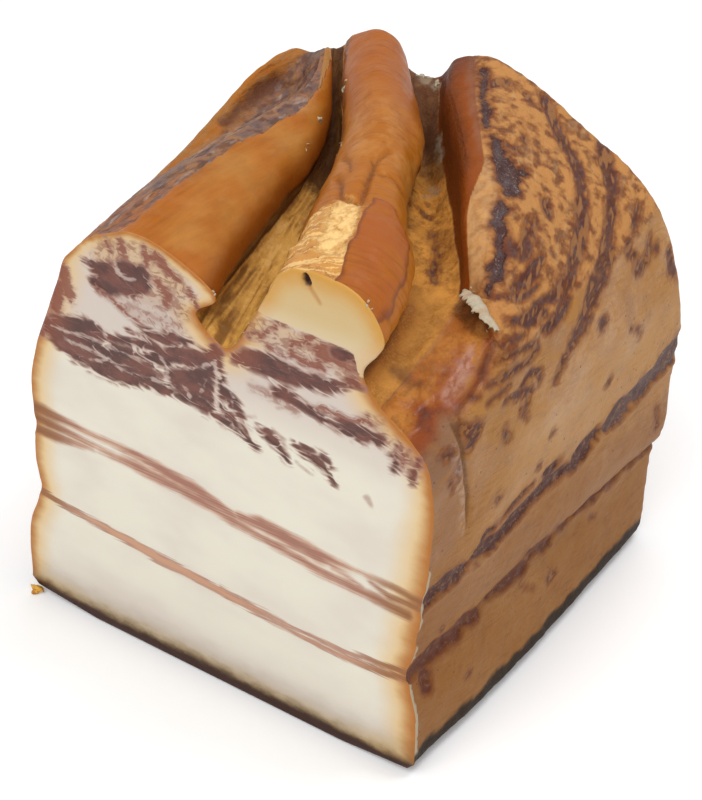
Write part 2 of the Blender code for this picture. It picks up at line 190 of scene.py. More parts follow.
WARM_LEAN = (
    ((-29.4, 83.2, 1.6), (-29, 81, 1.6), (-28.6, 79, 1.6), (-28.4, 77.6, 0.6)),
    ((-31, 79.4, 1.6), (-31.6, 77, 1.4), (-32, 74.8, 1.2), (-31.6, 73.6, 0.5)),
    ((-35.4, 70.6, 1.2), (-36.6, 67.4, 0.8)),
    ((-14.6, 93.8, 0.7), (-14.2, 91.5, 0.8), (-13.4, 89.6, 0.7)),
    ((-18, 92.8, 0.3), (-17.3, 91, 0.5)),
    ((-9.2, 94.4, 0.6), (-9, 92, 0.8), (-9, 91, 0.4)),
    ((-7, 93.4, 1), (-5.6, 92.6, 1.2), (-3.8, 91.4, 0.9), (-2, 90.4, 0.5)),
    ((0, 89, 0.5), (1.4, 87.4, 0.6), (2, 86, 0.3)),
    ((-21, 82.8, 1), (-18.5, 81.6, 0.7), (-16.8, 80.2, 0.4), (-14, 78.9, 0.3), (-11, 78.2, 0.25)),
    ((-6.5, 88, 0.9), (-4.4, 86, 0.9), (-5.4, 84.4, 0.5)),
    ((22, 86, 0.4), (24.6, 87.6, 0.8), (26.4, 89, 0.5)),
    ((28, 87.4, 1.2), (31, 87.6, 1.6), (34, 87.6, 1.6), (35.2, 86, 0.7), (33, 85.4, 0.9), (30, 86, 0.7),
     (27, 86.4, 0.6)),
    ((22, 84, 0.8), (24, 83.4, 0.7), (28, 83.4, 0.8), (27.4, 84.6, 0.5)),
    ((13, 84.4, 0.4), (16, 86, 0.4), (18.6, 88, 0.5), (19, 89.2, 0.4), (21, 89.4, 0.4)),
    ((17, 83.6, 0.4), (20, 82.8, 0.3)),
    ((26, 75, 0.3), (30, 75.4, 0.5), (33, 75.2, 0.6), (36, 76, 0.4), (37.5, 77.6, 0.4), (38, 76, 0.3)),
    ((44.2, 70, 0.6), (44.4, 72.6, 0.3), (43.6, 75, 0.25)),
    ((45.2, 72, 0.2), (45.6, 74, 0.2)),
)
FAINT_LEAN = (
    ((-3, 88, 0.4), (-3.6, 86.6, 0.4)),
    ((-13.4, 81.6, 0.3), (-12, 81.4, 0.35), (-11, 80.4, 0.2)),
    ((-9, 81.2, 0.3), (-7.4, 80.6, 0.35)),
    ((-4, 80.6, 0.25), (-2, 81.8, 0.3)),
    ((10, 68.6, 0.3), (11.4, 67.6, 0.25), (13.6, 68.2, 0.25)),
    ((17.6, 66.8, 0.4), (19.4, 65.4, 0.5), (20, 64.4, 0.3)),
    ((22.6, 62, 0.25), (24.4, 61, 0.3), (26, 60.6, 0.2)),
    ((13, 74.4, 0.4), (16, 74.4, 0.4), (19, 74, 0.3)),
    ((18.6, 71.6, 0.25), (21, 72.8, 0.3), (24, 73.4, 0.3)),
    ((37.4, 60.6, 0.8), (37.9, 59.6, 0.7)),
)
VEINS = (
    ((-6, 70.6, 0.15), (-2, 72.2, 0.2), (1.6, 73.8, 0.2), (4.2, 75.4, 0.25), (5.4, 76.6, 0.3)),
    ((5.4, 76.6, 0.3), (5.2, 73.4, 0.35), (5.3, 70.4, 0.45), (5, 67.4, 0.5), (6.2, 65.8, 0.3),
     (8, 64.6, 0.2)),
    ((-34, 69.8, 0.15), (-30, 70, 0.2), (-25, 70.4, 0.2), (-20.8, 70.4, 0.35), (-16, 70.3, 0.25),
     (-10, 70.4, 0.3)),
    ((-31, 68, 0.15), (-27, 67.8, 0.25), (-22.6, 68, 0.25), (-19, 67, 0.3), (-15, 66.2, 0.2),
     (-11, 67, 0.25), (-7, 67.4, 0.2)),
    ((-20.8, 72.4, 0.3), (-19.6, 70.8, 0.3), (-18, 69.8, 0.2)),
    ((-8, 73, 0.2), (-6, 71, 0.3), (-6.2, 68.4, 0.5), (-4.6, 67, 0.3)),
    ((-2.4, 68.6, 0.2), (-1.2, 67, 0.3), (-1, 65.4, 0.2)),
    ((1.4, 68.4, 0.15), (2.6, 70, 0.2), (3, 71.6, 0.15)),
    ((-25, 65.4, 0.1), (-22, 66.4, 0.2), (-20, 67.2, 0.2)),
    ((-16.6, 89.4, 0.2), (-15.8, 87, 0.35), (-14.6, 86.4, 0.3), (-12, 87.2, 0.2)),
    ((12, 82.2, 0.2), (18, 82.6, 0.2), (24, 82, 0.2), (30, 82.6, 0.25)),
    ((8.4, 71.4, 0.2), (8.6, 68.6, 0.25), (10, 66, 0.2), (12.4, 63.6, 0.2)),
)
# Ground of the cut that is mottled brown between its strands.
MOTTLED = (
    ((-20, 86.5, 2.4), (-17, 90.5, 3.2), (-12, 91.6, 3.2), (-6.5, 91, 3.4), (-2.4, 88.4, 2.8)),
    ((-11, 84.6, 2), (-6, 85, 3), (-1.6, 84.6, 2)),
    ((-20, 82, 1), (-15, 80.4, 1.4), (-9, 80.6, 1.6), (-3, 81, 1.6)),
    ((13.6, 85.4, 1.8), (17, 86.4, 3), (24, 86.2, 3.2), (30, 86.2, 3), (34, 86, 2)),
    ((44, 71.4, 2.2), (46.4, 70.4, 2)),
    ((13.4, 74.4, 1), (17, 74, 1.2), (22, 73, 0.8)),
    ((-31, 80, 1.6), (-32, 76, 1.6), (-35.6, 69.4, 1.6)),
    ((36.6, 76.6, 1), (39, 76.4, 1.6), (41, 74, 1)),
)
LOWER_STREAK = (
    ((-42, 28.4, 0.5), (-38, 27.3, 0.6), (-30, 26.6, 0.6), (-20, 25.7, 1.1), (-10, 24.7, 1.2), (0, 24, 1),
     (10, 22.9, 0.5), (20, 22, 0.3), (28, 21.6, 0.4), (36, 22, 0.5), (42, 22.6, 0.6), (46, 23.4, 0.7)),
    ((4, 24.4, 0.4), (12, 23.8, 0.4), (22, 23, 0.2), (32, 23.2, 0.3), (40, 24.2, 0.4), (46, 25, 0.5)),
)
UPPER_STREAK = (
    ((-41.5, 49, 1.2), (-35, 48.6, 1), (-28, 48.4, 0.6), (-20, 48.2, 0.6), (-14, 48, 0.9), (-8, 47, 1.4),
     (-2, 46, 1.6), (4, 44.8, 1.2), (8, 43.6, 0.7)),
    ((-41, 46.6, 1), (-35, 46.2, 0.9), (-28, 45.8, 0.5), (-20, 45.4, 0.6), (-14, 45.2, 1.3),
     (-8, 44.6, 1.1), (0, 43.6, 0.9), (8, 42.4, 1), (14, 41.5, 0.8), (20, 40.8, 0.8), (28, 39.8, 1),
     (34, 39.4, 1), (40, 39.2, 1), (46, 38.8, 0.8)),
    ((-40.5, 43.8, 1), (-36, 43.8, 1), (-31, 44.4, 0.6), (-26, 45, 0.3)),
    ((9, 44, 0.8), (14, 44.6, 1.5), (20, 44, 1.7), (26, 43.4, 1.7), (31, 43.2, 0.8), (36, 43.6, 0.3),
     (40, 43.6, 0.5), (44, 43.4, 0.6), (48.5, 43, 0.6)),
    ((38, 42.4, 0.3), (42, 41, 0.6), (48, 41.4, 0.4)),
    ((30, 42, 0.5), (36, 40.6, 0.3)),
)
CARTILAGE_FOOT = ((12, 90.6), (15.5, 90), (20, 89.6), (28, 89.4), (33, 89.2), (34.6, 88.6),
                  (35, 86.6), (35.6, 84.8), (42, 84))
CARTILAGE_LEFT = 13.5            # the cartilage lies to the right of this
MARROW_HOLE = (((25.2, 100, 0.65), (25.3, 99.4, 0.65), (25.4, 99, 0.5)),)
MARROW_GROOVE = (((25.8, 98.8, 0.35), (27, 97.4, 0.35), (28, 96.2, 0.25)),)

# Dark marks of the layers on the right side, as (y, z, half width) in millimetres.
RIGHT_STREAKS = (
    ((-45.3, 42, 2.6), (-36, 42, 2.2), (-30.5, 41.5, 1.2), (-27, 41.8, 2.6), (-22, 41.5, 1.5),
     (-14, 43, 2.2), (-10, 44, 1.5), (-4, 44.5, 2.2), (2, 43.4, 1.2), (6, 44.5, 3.2), (12, 46, 2.6),
     (15, 46, 1.3), (20, 46.8, 3.4), (28, 47.5, 3.2), (34, 48.6, 3.2), (40, 50.5, 3.6), (45, 51, 3)),
    ((-26, 45.8, 1.2), (-24, 45.4, 1)),
    ((-6, 48, 1.3), (-3, 47.6, 1.4)),
    ((-21, 46.2, 0.4), (-12, 48.2, 0.5)),
    ((-45.3, 24.2, 2), (-38, 24.4, 2.2), (-36, 24.6, 0.3)),
    ((-35, 23.8, 2), (-29.4, 23, 2.2)),
    ((-28, 24.6, 1.6), (-22, 22.8, 1.9)),
    ((-20, 25.2, 1.2), (-15, 24.2, 2.2), (-9, 24.6, 2.6), (-6, 23, 1.4)),
    ((-9, 29.4, 0.7), (-3, 27, 1.8), (3, 23.8, 1.7)),
    ((2, 29, 0.5), (6, 27.2, 1.5), (10, 25.6, 1.1)),
    ((11, 28, 0.7), (16, 26.4, 1.4), (20, 25, 1)),
    ((21, 26.8, 0.8), (25, 25.8, 1.3), (29, 25, 0.8)),
    ((30, 26.6, 0.8), (34, 25.6, 1.2), (38, 26, 1.1), (45, 25.6, 1.2)),
    ((-40.5, 21, 1.3), (-39, 17.4, 1)),
    ((-45.3, 24.4, 0.6), (-20, 24.6, 0.7), (0, 25.4, 0.8), (20, 26, 0.8), (45, 26, 1)),
)
RIGHT_SPOTS = (
    ((10, 72.4, 1.4), (11, 72.2, 1.2)),
    ((-24, 67.5, 1), (-22.5, 65.6, 0.8)),
    ((-19, 69.2, 0.7), (-16.5, 66.5, 0.4)),
    ((20.5, 66.3, 0.3), (23, 64.6, 0.5), (25, 62.6, 0.3)),
    ((13.2, 58, 0.9), (14, 57.8, 0.7)),
    ((-24.2, 53, 0.6), (-23.6, 52.6, 0.5)),
    ((-10.2, 52, 0.6), (-9.6, 51.4, 0.5)),
    ((-7, 57.6, 0.4), (-6, 57.2, 0.3)),
    ((29, 75, 1.3), (31, 75, 1.1)),
    ((34, 75.6, 0.9), (37, 75, 0.7)),
    ((41, 72, 1.3), (42, 68.6, 1.8)),
    ((26, 78, 0.8), (28, 77.6, 0.7)),
    ((32, 81, 0.5), (37, 82, 0.5)),
    ((3.2, 15, 1.2), (4.6, 15, 1)),
    ((-27.2, 12, 0.7), (-26.6, 11.8, 0.6)),
    ((19, 20.6, 0.5), (21, 19, 0.4)),
    ((-7, 19.6, 0.2), (-3, 16.4, 0.2)),
    ((-36, 29.6, 0.3), (-35, 28.2, 0.4)),
    ((38, 38, 0.6), (38.6, 33, 0.7)),
    ((-40, 66, 0.5), (-39.4, 65, 0.4)),
    ((-35.4, 74.2, 0.7), (-34.2, 73, 1.5), (-31.8, 72.6, 1.2), (-34.2, 70.6, 1.2)),
    ((-37.4, 69, 0.5), (-37.8, 66, 0.4)),
    ((-41, 72, 0.7), (-39.4, 71.4, 0.8)),
)
# Lean that shows through the lobe, as (x, y, z, half width).
LOBE_LEAN = (
    ((20, 41, 97.5, 1.3), (25, 36.5, 96, 1.6), (29.5, 33, 94, 1.8), (34, 30, 91.5, 1.8),
     (37.5, 25.5, 90, 1.6), (40, 21.5, 88.8, 1.6), (42.5, 17, 87.5, 1.5), (44.5, 12, 86, 1.8),
     (46.2, 8, 85, 1.8), (47.6, 4, 83.7, 1.6), (48.6, 0, 82.4, 1.2), (49.4, -3.5, 81.3, 0.8)),
    ((49.8, -5.5, 80.8, 1), (50.3, -8.5, 79.6, 0.7)),
    ((33, 43, 90.5, 1.5), (36.5, 38, 88.8, 2), (40, 33.5, 87, 1.7), (43, 28.5, 85.3, 1.6),
     (45.5, 23, 83.3, 1.7), (47.5, 18.5, 81.5, 2), (49, 13.5, 80, 2.2), (50, 9, 78.5, 2.2),
     (50.8, 5.5, 76.5, 2), (51.3, 2, 75, 1.7), (51.6, -1.5, 73.7, 1.3)),
    ((51.8, -4, 72.2, 1), (52, -7.5, 69.2, 0.7)),
    ((44.5, 37, 82.4, 1.2), (46.5, 31.5, 80.8, 0.9)),
    ((48, 27.5, 79.7, 1), (48.7, 25, 78.6, 0.6)),
    ((49.7, 28.5, 75.6, 1.1), (50.1, 26, 74.6, 0.8)),
    ((50.4, 41, 71.6, 1.6), (50.9, 40, 69, 1.1)),
    ((48.3, 35.5, 77.4, 0.9), (49.2, 33, 76, 0.6)),
    ((25.5, 24, 97.6, 0.9), (26.5, 22.5, 97, 0.6)),
    ((26, 17, 98.5, 0.9), (28, 18, 97.6, 0.6)),
    ((37.5, 11.5, 92.6, 1.2), (39.6, 9, 91.5, 0.8)),
    ((39.5, -5, 93.2, 1), (41, -6.5, 92, 1.8), (42.5, -5, 91, 1.6), (41, 0.5, 92.2, 1.2)),
    ((39, 2, 93.3, 0.9), (40.2, 4.5, 92, 0.6)),
    ((12, 34, 101, 1.8), (14, 37, 100.3, 1.2)),
    ((18, 37, 99.2, 0.9), (19.5, 36.5, 98.5, 0.8)),
    ((51, -24, 74, 0.5), (51.3, -20, 73, 0.9), (51.6, -15.6, 71.8, 0.9), (51.6, -17, 69, 0.7)),
)
# Whirls and grain lines of lean on the lobe's flank, as (x, y, z, half width).
LOBE_THREADS = (
    ((45, -12.6, 88.6, 0.6), (45.4, -9.2, 88.2, 1.3), (45, -5.6, 88.5, 1.5), (44.4, -1.4, 88.9, 1)),
    ((44.6, -16.6, 88.6, 0.5), (46.2, -13.4, 87.4, 0.9), (46.8, -9.6, 86.6, 0.7), (46.6, -6, 86.6, 0.5)),
    ((47.6, -17.6, 85.4, 0.7), (48.6, -14.2, 84, 1.4), (48.8, -11, 83.6, 1.6), (49.2, -7.4, 82.6, 0.9)),
    ((48.2, -9.6, 84.9, 0.8), (48.4, -6.2, 84.3, 1), (48.3, -3, 83.9, 0.7)),
    ((48.6, -4.6, 83.4, 0.8), (48.4, -1.2, 83.6, 1), (47.8, 1.8, 84.4, 0.7)),
    ((50, -10, 80.6, 0.7), (50.2, -5.6, 79.9, 1), (50, -1.4, 80.4, 0.9), (49.4, 1.4, 81.4, 0.6)),
    ((48.3, -21, 82.8, 0.5), (49, -18.2, 82.8, 0.7), (49.5, -15.8, 82.4, 0.5)),
    ((49, -24, 80.9, 0.4), (49.8, -20, 80.9, 0.5), (50.3, -15.6, 80.2, 0.6), (50.6, -12.4, 79.4, 0.6)),
    ((50, -24, 78.6, 0.5), (50.7, -19.6, 77.9, 0.7), (51, -15.6, 77.6, 0.6), (51, -12.4, 78.4, 0.6)),
    ((49.4, -27.6, 78.2, 0.4), (50.2, -24.6, 78, 0.5), (50.6, -21.6, 77.6, 0.4)),
    ((50.2, -29, 75.8, 0.3), (50.8, -25, 76, 0.5), (51, -22, 76, 0.3)),
    ((48.8, -31, 77.6, 0.6), (49.2, -29.8, 77.4, 0.4)),
    ((51.1, -18.4, 74, 0.6), (51.2, -15.6, 75, 0.8), (51.5, -12.6, 74, 0.8), (51.7, -12.4, 71.8, 0.6)),
)
# Brown stains in front of the lobe, as (x, y, z, half width).
STAINS = (
    ((45, -39.5, 78, 1.1), (45.6, -41.6, 77.2, 0.9)),
    ((37.4, -38.2, 82.7, 0.8), (39.3, -37.8, 82.1, 1.3), (40.9, -38.3, 81.3, 0.6),
     (43.2, -35.8, 80.9, 0.3)),
    ((48, -27, 80.4, 0.6), (47.6, -24, 81.8, 0.8)),
    ((48.9, -36.6, 75.6, 0.5), (50.3, -34.1, 73.5, 0.9), (50.6, -33.2, 70.6, 0.5)),
)
# Dark marks on top of the lobe, as (x, y, half width).
LOBE_MARKS = (
    ((42.4, -16.6, 0.5), (42.3, -14.4, 0.9), (41.8, -12.2, 1.4), (40.7, -9.4, 1.3), (39.6, -7.8, 0.8)),
    ((38.9, -6.9, 0.9), (37.4, -5.2, 1.5), (36.4, -2.7, 1.5), (35.3, -0.1, 1)),
    ((34, 3, 1.4), (32.7, 6.8, 2.2), (30.8, 9.2, 2.5), (28.7, 11.1, 1.9), (25.9, 13.8, 1.3),
     (23.6, 16.2, 1)),
    ((31.2, 11.6, 1), (31.4, 14.4, 0.9)),
    ((20.6, 19.6, 0.9), (17.3, 23.2, 0.9), (14.1, 28, 0.8), (11, 32.9, 0.9), (7.6, 38.4, 0.7)),
)
# Dark marks and pale bits of the valley, as (x, y, half width).
VALLEY_MARKS = (
    ((13.6, 6.8, 0.8), (16, 6.4, 0.6)),
    ((24, -3.6, 0.4), (27, -9, 0.7), (29.4, -13, 0.4)),
    ((20, 2, 0.3), (23, -2.6, 0.5)),
)
VALLEY_PALE = (
    ((10.6, 15.4, 0.5), (13, 13.6, 1), (11.8, 11.6, 0.6)),
    ((7, 23.6, 0.4), (5.6, 27, 0.7)),
    ((9.4, 20.4, 0.4), (8.6, 22, 0.5)),
    ((-10, 43.2, 0.5), (-7.6, 42.2, 0.8)),
    ((-5, 41.4, 0.7), (-3.4, 40.6, 0.5)),
)
# Red and pink patches in front of the lobe, as (x, y, z, half width).
RED_PATCH = (
    ((42.8, -41.2, 79.4, 0.8), (45.1, -39.7, 77.9, 2.4), (46.4, -42, 76.4, 2.4), (46.2, -45.3, 75.4, 2.2)),
    ((45.8, -37, 78.6, 1.6), (47.8, -34.6, 77.4, 1.3), (48.4, -31, 78.6, 1.2), (48.3, -27.7, 79.8, 1.4),
     (47.2, -24.2, 81.8, 1.5), (46.2, -21.6, 83.8, 1)),
    ((43, -25.4, 83.2, 0.8), (44, -29.6, 81.8, 0.9), (44.2, -33.4, 80.4, 1), (45, -36.6, 79, 1.2)),
)
PINK_PATCH = (
    ((44.4, -24.8, 82.9, 0.6), (45.6, -28.3, 81.6, 1.3), (46.4, -31.6, 80, 1.5), (46, -34.6, 79.1, 1.5),
     (47.4, -34.4, 77.9, 0.9)),
)
# Dark line between the shelf and the lobe's flank, as (x, y, z, half width).
CREASE_BRANCH = (
    ((50, -35.8, 74, 0.3), (48.4, -34.9, 76.9, 0.5), (48.5, -31.4, 78.1, 0.4), (48.4, -27.7, 79.5, 0.4),
     (47.7, -24.6, 81.4, 0.4), (47.2, -21.6, 83.6, 0.5)),
)

# Zones of the ridge's top: the left and right edge as (y, x) in millimetres.
SCRAPED_EDGES = (
    ((-38.6, 22.4), (-36, 20.2), (-30, 18.2), (-25, 15.4), (-21.8, 16.6)),
    ((-38.6, 26.8), (-32.5, 25.4), (-24.8, 21.6), (-21.8, 19)),
)
FLAKY_EDGES = (
    ((-45.3, 16.6), (-42, 13.6), (-36, 11.6), (-28, 12.2), (-24, 13.6)),
    ((-45.3, 31.4), (-42, 30), (-36, 27), (-28, 20), (-24, 17)),
)
MEMBRANE_EDGES = (
    ((-45.3, 31), (-42, 29.5), (-36, 27), (-29, 24), (-22, 21.5), (-18.4, 20.6)),
    ((-45.3, 39.2), (-40, 38.4), (-33, 36.2), (-26, 32.4), (-21, 28.6), (-18.4, 24.6)),
)
# Where the roll's glossy skin ends at its left, as (y, x).
ROLL_SKIN_EDGE = ((-45.3, -15), (-25, -16.5), (-10, -17.3), (0, -17), (10, -18),
                  (18, -20), (28, -24), (40, -30), (45.3, -34))
# Cracks in the ridge's skin and folds of the hollow at the left, as (x, y, half width).
RIDGE_CRACKS = (
    ((12.6, -2, 0.1), (12.8, -6, 0.25), (13.6, -8.6, 0.35), (14.8, -11, 0.3), (16, -14, 0.35),
     (17.4, -17, 0.35), (19, -20.4, 0.3), (20, -22.2, 0.2)),
    ((8.6, -13.4, 0.15), (10.6, -15.4, 0.25), (13, -18.4, 0.2), (15, -21.4, 0.3), (19, -21.8, 0.2)),
    ((13.6, -8.6, 0.25), (11.4, -6.6, 0.1)),
    ((15, -11, 0.1), (18.6, -9, 0.15), (21, -9.4, 0.05)),
    ((5, -6, 0.1), (8, -8.6, 0.15), (10.4, -12, 0.1)),
)
OUTER_FOLDS = (
    ((-28, -40, 0.6), (-31, -34, 0.8), (-35, -27, 0.5)),
    ((-22, -14, 0.7), (-24, -6, 0.8), (-26, 4, 0.5)),
    ((-38.6, 14, 0.8), (-38.4, 24, 1.2), (-38, 33, 1), (-35, 38, 0.6)),
    ((-24.6, 22, 0.6), (-28.6, 30, 1.2), (-32, 38, 0.8)),
    ((-19, 4, 0.5), (-20, 12, 0.9), (-22, 20, 0.6)),
)
CHIPPED_HEIGHTS = ((3, 22), (28, 32), (36, 50))   # pale chips up the near edge

# Torn crumbs, as (count, half length, chain of (x, y, spread)) in millimetres.
TORN_FAT = (
    (5, 0.3, ((4.8, -44.9, 0.4), (5.6, -44.8, 0.4))),
    (4, 0.3, ((36.2, -44.6, 0.5), (37.6, -44.7, 0.5))),
    (14, 0.3, ((9, -44.4, 0.6), (12.6, -43, 0.8), (14, -40.6, 0.6))),
    (3, 0.55, ((-15.8, 15.6, 0.3), (-16, 16.2, 0.3))),
    (3, 0.3, ((-11.8, 7.4, 0.3), (-11.4, 4.6, 0.3))),
    (4, 0.5, ((-16.4, 25, 0.3), (-17, 26.4, 0.4))),
    (10, 0.3, ((-1, 2, 1), (-6, 8, 1), (-12, 16, 0.6))),
    (8, 0.3, ((37.4, -15.8, 0.8), (41.6, -18.4, 0.8), (45.4, -20.4, 0.6))),
    (9, 0.6, ((-10.4, 43.4, 0.5), (-7, 42.4, 0.8), (-4, 41.4, 0.7))),
)
# Root of the torn flake on the lobe's step as (x, y), with its width there.
FLAKE = ((37.6, -16.2, 0.4), (38.6, -17, 1), (39.6, -17.6, 1.9), (41.4, -18.2, 2.4), (43, -19, 2.2),
         (44.2, -19.8, 1.2), (46, -20.6, 0.8), (47.2, -21.2, 0.4))
FLAKE_COLUMNS = 90
FLAKE_THICKNESS = 0.22
FLAKE_WAY = (-0.49, -0.87)       # the way that it hangs out, as (x, y)
FLAKE_ROWS = (-0.9, -0.4, 0.0, 0.3, 0.6, 0.85, 1.0)   # from behind its root to its tip
# Yellow scrap at the rind's left corner: a point, three half lengths and a turn for each lump.
SCRAP = (
    ((-45.4, -45.8, 1.1), (1.3, 0.6, 0.45), (0.2, 0.5, 0.4)),
    ((-46.4, -45.9, 0.8), (1.2, 0.6, 0.35), (0.4, 0.3, 0.1)),
    ((-45.8, -46.4, 0.5), (1, 0.5, 0.35), (0.3, -0.2, 0.8)),
)

# Layers on the smoked far end, as (x, z, half width).
BACK_LEAN = (
    ((-48, 42, 1.6), (-30, 42.6, 1), (-12, 44, 1.8), (4, 46, 1.2), (22, 48.6, 2.2), (52, 50.6, 2.8)),
    ((-48, 26.6, 1.3), (-20, 25, 1), (8, 24, 1.5), (30, 24.4, 1), (51, 25, 1.8)),
    ((-44, 68, 1.6), (-34, 70, 2.6), (-22, 71, 3), (-10, 73.4, 2), (2, 75, 2.8)),
    ((6, 76, 2), (16, 79.6, 2.6), (28, 82, 1.8), (38, 84.4, 2.2)),
    ((-30, 83, 2), (-22, 86, 1.6), (-14, 88.4, 1)),
    ((12, 67, 1), (22, 69.6, 1.6), (32, 71, 1)),
)

# Soft lights as (name, place, size, share of the key light's power), in metres.
LIGHTS = (
    ("key_light", (0.05, -0.55, 0.78), (0.6, 0.6), 1.0),
    ("glint_light", (0.28, 0.12, 0.80), (0.10, 0.10), 0.16),
    ("top_light", (0.15, 0.32, 0.85), (0.6, 0.5), 0.6),
)
LIT_POINT = (0.0, 0.0, 0.05)
FLOOR_GAP = 0.0002


def hermite(t, span, start, leave, end, reach):
    """Cubic curve from start to end over a span, with the slopes leave and reach at its ends."""
    return ((2 * t**3 - 3 * t**2 + 1) * start + (t**3 - 2 * t**2 + t) * span * leave
            + (3 * t**2 - 2 * t**3) * end + (t**3 - t**2) * span * reach)


def smooth_between(knots, values, wanted):
    """Cubic curve through values at knots, with slopes taken from the neighbouring knots."""
    slopes = np.gradient(values, knots, axis=0)
    i = np.clip(np.searchsorted(knots, wanted, side="right") - 1, 0, len(knots) - 2)
    span = (knots[i + 1] - knots[i])[:, None]
    t = (wanted - knots[i])[:, None] / span
    return hermite(t, span, values[i], slopes[i], values[i + 1], slopes[i + 1])


def length_of(vectors):
    return np.linalg.norm(vectors, axis=-1, keepdims=True)


def tangent(before, here, after):
    """Slope of the outline at a line, weighted so that a close neighbour counts more."""
    near = np.maximum(length_of(here - before), 0.1)
    far = np.maximum(length_of(after - here), 0.1)
    return ((here - before) / near * far + (after - here) / far * near) / (near + far)


def outlines(depths, spacing):
    """The closed outline at every depth, as rings of (x, z), and the line number of each point of a ring."""
    anchors = []
    for _, _, stations in LINES:
        table = np.array(stations, float)
        anchors.append(smooth_between(table[:, 0], table[:, 1:], depths))
    sharp = [kind == "sharp" for _, kind, _ in LINES]
    count = len(LINES)
    columns, numbers = [], []
    for k in range(count):
        before, start = anchors[k - 1], anchors[k]
        end, after = anchors[(k + 1) % count], anchors[(k + 2) % count]
        chord = end - start
        length = length_of(chord)
        leave = chord / length if sharp[k] else tangent(before, start, end)
        reach = chord / length if sharp[(k + 1) % count] else tangent(start, end, after)
        steps = max(1, math.ceil(length.max() / spacing[k]))
        for t in np.arange(steps) / steps:
            columns.append(hermite(t, length, start, leave, end, reach))
            numbers.append(k + t)
    return np.stack(columns, 1), np.array(numbers)


def rise(value, low, high):
    """Smooth step from 0 at low to 1 at high."""
    t = np.clip((value - low) / (high - low), 0.0, 1.0)
    return t * t * (3 - 2 * t)


def strand_field(place, strands):
    """How far inside the nearest strand each point lies, in millimetres, and negative outside."""
    field = np.full(np.broadcast(*place).shape, OUTSIDE)
    for strand in strands:
        for (*start, start_width), (*end, end_width) in zip(strand, strand[1:]):
            run = np.subtract(end, start)
            t = np.clip(sum((p - a) * r for p, a, r in zip(place, start, run)) / (run @ run), 0.0, 1.0)
            gap = np.sqrt(sum((p - a - t * r)**2 for p, a, r in zip(place, start, run)))
            field = np.maximum(field, start_width + t * (end_width - start_width) - gap)
    return field


def band_field(x, y, edges):
    """How far inside a zone with a left and a right edge each point lies, in millimetres."""
    left, right = (np.array(edge) for edge in edges)
    inside = np.minimum(x - np.interp(y, left[:, 0], left[:, 1]),
                        np.interp(y, right[:, 0], right[:, 1]) - x)
    past_cut = 4.0 if left[0, 0] <= FRONT else 0.0   # a zone that starts at the cut has no end there
    ends = np.minimum(y - min(left[0, 0], right[0, 0]) + past_cut, max(left[-1, 0], right[-1, 0]) - y)
    return np.minimum(inside, ends)


class Lumps:
    """Smooth seeded noise in space, from about -1 to 1."""

    CELLS = 256
    SWING = 1.6   # brings the noise to about -1 and 1

    def __init__(self, seed):
        draw = np.random.default_rng(seed)
        self.order = draw.permutation(self.CELLS)
        slopes = draw.normal(size=(self.CELLS, 3))
        self.slopes = slopes / length_of(slopes)

    def at(self, x, y, z):
        spots = np.stack(np.broadcast_arrays(x, y, z), -1)
        cell = np.floor(spots).astype(int)
        inside = spots - cell
        fade = inside**3 * (inside * (inside * 6 - 15) + 10)
        total = 0.0
        for corner in np.ndindex(2, 2, 2):
            key = 0
            share = 1.0
            dot = 0.0
            for axis in range(3):
                key = self.order[(key + cell[..., axis] + corner[axis]) % self.CELLS]
                share = share * (fade[..., axis] if corner[axis] else 1 - fade[..., axis])
            for axis in range(3):
                dot = dot + self.slopes[key, axis] * (inside[..., axis] - corner[axis])
            total = total + share * dot
        return self.SWING * total


LUMPS = Lumps(11)


class Spots:
    """Points of the block in millimetres, with the line number of each where they lie round its side."""

    def __init__(self, points, line=-1.0):
        self.x, self.y, self.z = points[..., 0], points[..., 1], points[..., 2]
        self.line = np.broadcast_to(line, self.x.shape)

    def lumps(self, sx, sy, sz, seed):
        """Noise whose lumps are about sx, sy and sz millimetres long."""
        return LUMPS.at(self.x / sx + seed, self.y / sy + 2.3 * seed, self.z / sz - 1.7 * seed)

    def past(self, name, before, after, shift=0.0):
        """0 before a line of the outline and 1 after it."""
        return rise(self.line + shift, NUMBER[name] - before, NUMBER[name] + after)

    def over(self, first, last, soft):
        """1 between two lines of the outline, and 0 outside them."""
        return self.past(first, soft, soft) * (1 - self.past(last, soft, soft))

    def on(self, first, last):
        """Which points lie between two lines of the outline."""
        return self.over(first, last, 0.02) > 0.5

    def near(self, name, reach, steep, shift=0.0):
        """reach at a line of the outline, and less with the distance from it."""
        return reach - np.abs(self.line - NUMBER[name] + shift) * steep


